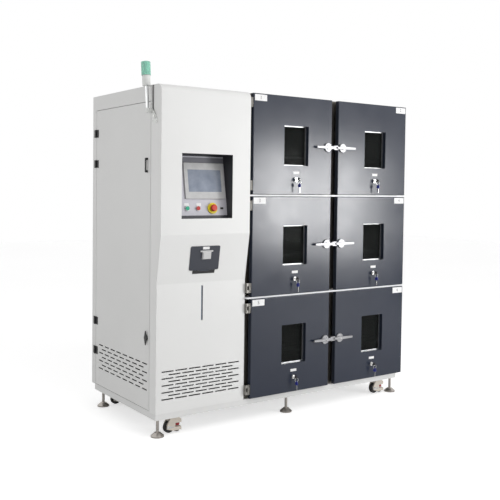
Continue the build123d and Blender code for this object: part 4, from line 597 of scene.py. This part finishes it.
CORNER_PLATE_IN, CORNER_PLATE_DROP, LOCK_PLATE_DROP = 49.5, 24, 158
chamber = 0
for row in reversed(ROWS):
    for side in SIDES:
        chamber += 1
        low, high = DOOR_EDGES[side]
        x = low + CORNER_PLATE_IN if side == "left" else high - CORNER_PLATE_IN
        top = row_middle[row] + DOOR_HEIGHT / 2
        place, body = door_board(x, top - CORNER_PLATE_DROP), f"door_{row}_{side}"
        plate(f"corner_plate_{row}_{side}", place, 85, 36, "label_white", body)
        numeral(f"chamber_number_{row}_{side}", str(chamber), place, 20, "ink_grey", body)
        under = door_board((low + high) / 2 + WINDOW_OFFSET, row_middle[row] - LOCK_PLATE_DROP)
        plate(f"lock_plate_{row}_{side}", under, 44, 15, "label_white", body)
plate("green_button_label", panel_board(-97, -102), 29, 15, "label_white", "cabinet", 0.6)
plate("red_button_label", panel_board(-20, -101), 29, 15, "label_white", "cabinet", 0.6)
plate("flap_label", slope_board(3.5, 56, 3.3), 42, 15, "label_white", "filler_flap", 0.5)
print(chamber, "door plates and three labels")

# %% [markdown]
# A double window keeps its panes apart with a bright aluminium bar all round. Here the bar stands in the
# door's opening against the pane, and from the side only its far upright shows, as a thin light line.


# %% Spacer bars of the windows
def spacer(side, row, lap=12.2, wide=4, deep=6):
    low, high = (drawn(corner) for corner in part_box(f"glass_{row}_{side}"))
    width, height = high.x - low.x - 2 * lap, high.z - low.z - 2 * lap
    middle, shape = (low + high) / 2, bmesh.new()
    for end in (-1, 1):
        for x, z, across, up in ((end * (width - wide) / 2, 0, wide, height),
                                 (0, end * (height - wide) / 2, width - 2 * wide, wide)):
            place = Matrix.Translation(mm(middle.x + x, low.y - deep / 2 - 0.1, middle.z + z))
            size = Matrix.Diagonal((across / 1000, deep / 1000, up / 1000, 1))
            bmesh.ops.create_cube(shape, size=1.0, matrix=place @ size)
    put(f"window_spacer_{row}_{side}", shape, "fin_aluminium", f"door_{row}_{side}")


for side, row in each_door:
    spacer(side, row)
print("six windows have their spacer bars")

# %% [markdown]
# Screws are small, but a cabinet without them looks like a toy. A head is a short cone whose flat top is
# inset and pushed in for the key. All screws of one finish on one body go into one mesh, which keeps the
# list of pieces short.


# %% Screws
def screw_head(radius, height):
    """One domed head with a pushed-in key socket, standing on its board's middle."""
    r, h = radius / 1000, height / 1000
    shape = bmesh.new()
    bmesh.ops.create_cone(shape, cap_ends=True, segments=18, radius1=r, radius2=r * 0.72, depth=h)
    bmesh.ops.translate(shape, vec=(0, 0, h / 2), verts=shape.verts)
    top = max(shape.faces, key=lambda f: f.calc_center_median().z)
    bmesh.ops.inset_region(shape, faces=[top], thickness=r * 0.25, use_even_offset=True)
    bmesh.ops.inset_region(shape, faces=[top], thickness=r * 0.02, depth=-h * 0.6, use_even_offset=True)
    master = bpy.data.meshes.new("screw_master")
    shape.to_mesh(master)
    shape.free()
    return master


def screws(name, places, radius, height, finish, body):
    master, shape = screw_head(radius, height), bmesh.new()
    for place in places:
        known = set(shape.verts)
        shape.from_mesh(master)
        bmesh.ops.transform(shape, matrix=place, verts=[v for v in shape.verts if v not in known])
    bpy.data.meshes.remove(master)
    put(name, shape, finish, body)


REAR_COLUMNS, REAR_ROWS = (34, 560, 580, 1180, 1780), (150, 575, 1000, 1430, 1862)
SERVICE_HINGES = (344, 525, 1474, 1656)
LATCH_X = {"left": 1147, "right": 1264}
screws("rear_cover_screws", [rear_board(x, z) for x in REAR_COLUMNS for z in REAR_ROWS], 4.5, 2.6, "plated",
       "cabinet")
right_hinges = [row_middle[row] + end * (DOOR_HEIGHT / 2 - 52) for row in ROWS for end in (-1, 1)]
tab_screws = [right_board(72, z + dz, CABINET_WIDTH + 3) for z in right_hinges for dz in (-16, 16)]
screws("right_hinge_screws", tab_screws, 4, 2.2, "plated", "cabinet")
for leaf, y, body in (("frame", 815, "cabinet"), ("door", 778, "service_door")):
    places = [left_board(y, z + dz, -2.5) for z in SERVICE_HINGES for dz in (-14, 14)]
    screws(f"service_hinge_screws_{leaf}", places, 3, 1.4, "black_coat", body)
lamp_screws = [left_board(y, LAMP_PIVOT_Z - 24, -3) for y in (27, 69)]
screws("lamp_plate_screws", lamp_screws, 3, 1.6, "plated", "cabinet")
for side, row in each_door:
    screws(f"latch_screw_{row}_{side}", [door_board(LATCH_X[side], row_middle[row], -21)], 5.5, 3.2,
           "plated", f"lever_{row}_{side}")
print("screws set")

# %% [markdown]
# A levelling foot is a pad on a threaded rod. The thread is a small ridge profile spun about the rod
# while it climbs by one pitch each turn: that is what the spin operator's step vector is for.


# %% Threads of the feet
def thread(shape, place, radius, pitch, turns, height, steps=12):
    ridge = [Vector((radius - height, 0, 0)), Vector((radius + height, 0, pitch / 2)),
             Vector((radius - height, 0, pitch))]
    points = [shape.verts.new(p / 1000) for p in ridge]
    edges = [shape.edges.new((points[0], points[1])), shape.edges.new((points[1], points[2]))]
    bmesh.ops.spin(shape, geom=points + edges, cent=(0, 0, 0), axis=(0, 0, 1),
                   dvec=(0, 0, pitch / 1000 / steps), angle=2 * math.pi * turns, steps=steps * turns)
    bmesh.ops.transform(shape, matrix=Matrix.Translation(place), verts=shape.verts)


for end in ("front", "rear"):
    for across in ("left", "middle", "right"):
        low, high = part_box(f"foot_{end}_{across}")
        middle = (low + high) / 2
        shape = bmesh.new()
        thread(shape, Vector((middle.x, middle.y, low.z + 0.026)), 8, 2, 30, 0.35)
        put(f"foot_thread_{end}_{across}", shape, "foot_steel", f"foot_{end}_{across}", smooth=True)
print("feet threaded")

# %% [markdown]
# The studio is plain: a wide pale floor, soft light from all round, and two upright soft boxes at the
# front right. Satin paint shows a soft box as a bright cloud, so the two boxes stand where the doors
# mirror them, and the clouds fall on the left part of each column of doors.

# %% Studio
AMBIENT, BACKDROP, FLOOR_LIFT = 0.46, 1.0, 0.56
world = bpy.data.worlds.new("studio")
bpy.context.scene.world = world
world.use_nodes = True
tree = world.node_tree
sky = tree.nodes["Background"]
ray = tree.nodes.new("ShaderNodeLightPath")
level = tree.nodes.new("ShaderNodeMapRange")
level.inputs["To Min"].default_value = AMBIENT
level.inputs["To Max"].default_value = BACKDROP
sky.inputs["Color"].default_value = (1, 1, 1, 1)
seen = ray.outputs["Is Camera Ray"]
for kind in ("Is Glossy Ray", "Is Transmission Ray"):
    both = tree.nodes.new("ShaderNodeMath")
    both.operation = "MAXIMUM"
    tree.links.new(seen, both.inputs[0])
    tree.links.new(ray.outputs[kind], both.inputs[1])
    seen = both.outputs["Value"]
tree.links.new(seen, level.inputs["Value"])
tree.links.new(level.outputs["Result"], sky.inputs["Strength"])

floor_mesh = bpy.data.meshes.new("floor")
sheet = bmesh.new()
bmesh.ops.create_grid(sheet, x_segments=1, y_segments=1, size=14)
sheet.to_mesh(floor_mesh)
sheet.free()
floor = bpy.data.objects.new("floor", floor_mesh)
bpy.context.scene.collection.objects.link(floor)
floor_paint = new_finish("floor_paint", 0.7)
tone(floor_paint, (0.80, 0.80, 0.80), (0.83, 0.83, 0.83), noise(floor_paint, 0.6))
floor_paint.node_tree.nodes["Principled BSDF"].inputs["Specular IOR Level"].default_value = 0.15
glow = add(floor_paint, "LightPath")
lift = add(floor_paint, "MapRange")
lift.inputs["To Max"].default_value = FLOOR_LIFT
join(floor_paint, glow, "Is Camera Ray", lift, "Value")
join(floor_paint, lift, "Result", floor_paint.node_tree.nodes["Principled BSDF"], "Emission Strength")
floor_paint.node_tree.nodes["Principled BSDF"].inputs["Emission Color"].default_value = (1, 1, 1, 1)
floor_mesh.materials.append(floor_paint)


def soft_box(name, place, target, width, height, power):
    lamp = bpy.data.lights.new(name, "AREA")
    lamp.shape = "RECTANGLE"
    lamp.size, lamp.size_y, lamp.energy = width, height, power
    holder = bpy.data.objects.new(name, lamp)
    bpy.context.scene.collection.objects.link(holder)
    holder.location = place
    holder.rotation_euler = (Vector(target) - Vector(place)).to_track_quat("-Z", "Y").to_euler()
    return holder


soft_box("cloud_left", (2.643, -3.978, 1.26), (-0.08, -0.4, 1.3), 0.6, 1.1, 45)
soft_box("cloud_right", (3.604, -3.978, 1.17), (0.40, -0.4, 1.25), 0.5, 1.2, 42)
overhead = soft_box("overhead", (0.6, -3.0, 4.0), (0, 0, 0.8), 3.0, 3.0, 52)
overhead.visible_glossy = False
soft_box("side_fill", (-4.2, 0.2, 1.7), (-0.9, 0, 1.0), 2.0, 2.0, 24)
print("studio ready")

# %% [markdown]
# The camera was fitted to the photograph's own edges: it stands to the left of the cabinet a little
# above the middle of its height, turned thirty-five degrees, and its picture is cut a little low.

# %% Camera
YAW, PITCH, ROLL = 0.6108, 0.0372, 0.0124
PICTURE, FOCAL_PIXELS, AXIS_ROW = 500, 772.70, 216.5
EYE = mm(-1922.9, -3575.2, 1342.5)
look = Vector((math.sin(YAW) * math.cos(PITCH), math.cos(YAW) * math.cos(PITCH), -math.sin(PITCH)))
side_way = Vector((math.cos(YAW), -math.sin(YAW), 0))
up_way = side_way.cross(look)
right = side_way * math.cos(ROLL) + up_way * math.sin(ROLL)
above = up_way * math.cos(ROLL) - side_way * math.sin(ROLL)
lens = bpy.data.cameras.new("camera")
lens.lens = lens.sensor_width * FOCAL_PIXELS / PICTURE
lens.shift_y = (AXIS_ROW - PICTURE / 2) / PICTURE
lens.clip_end = 60
camera = bpy.data.objects.new("camera", lens)
bpy.context.scene.collection.objects.link(camera)
camera.matrix_world = Matrix.Translation(EYE) @ Matrix((right, above, -look)).transposed().to_4x4()
bpy.context.scene.camera = camera
bpy.context.scene.view_settings.view_transform = "Standard"
print("camera at", [round(v, 3) for v in camera.matrix_world.translation])
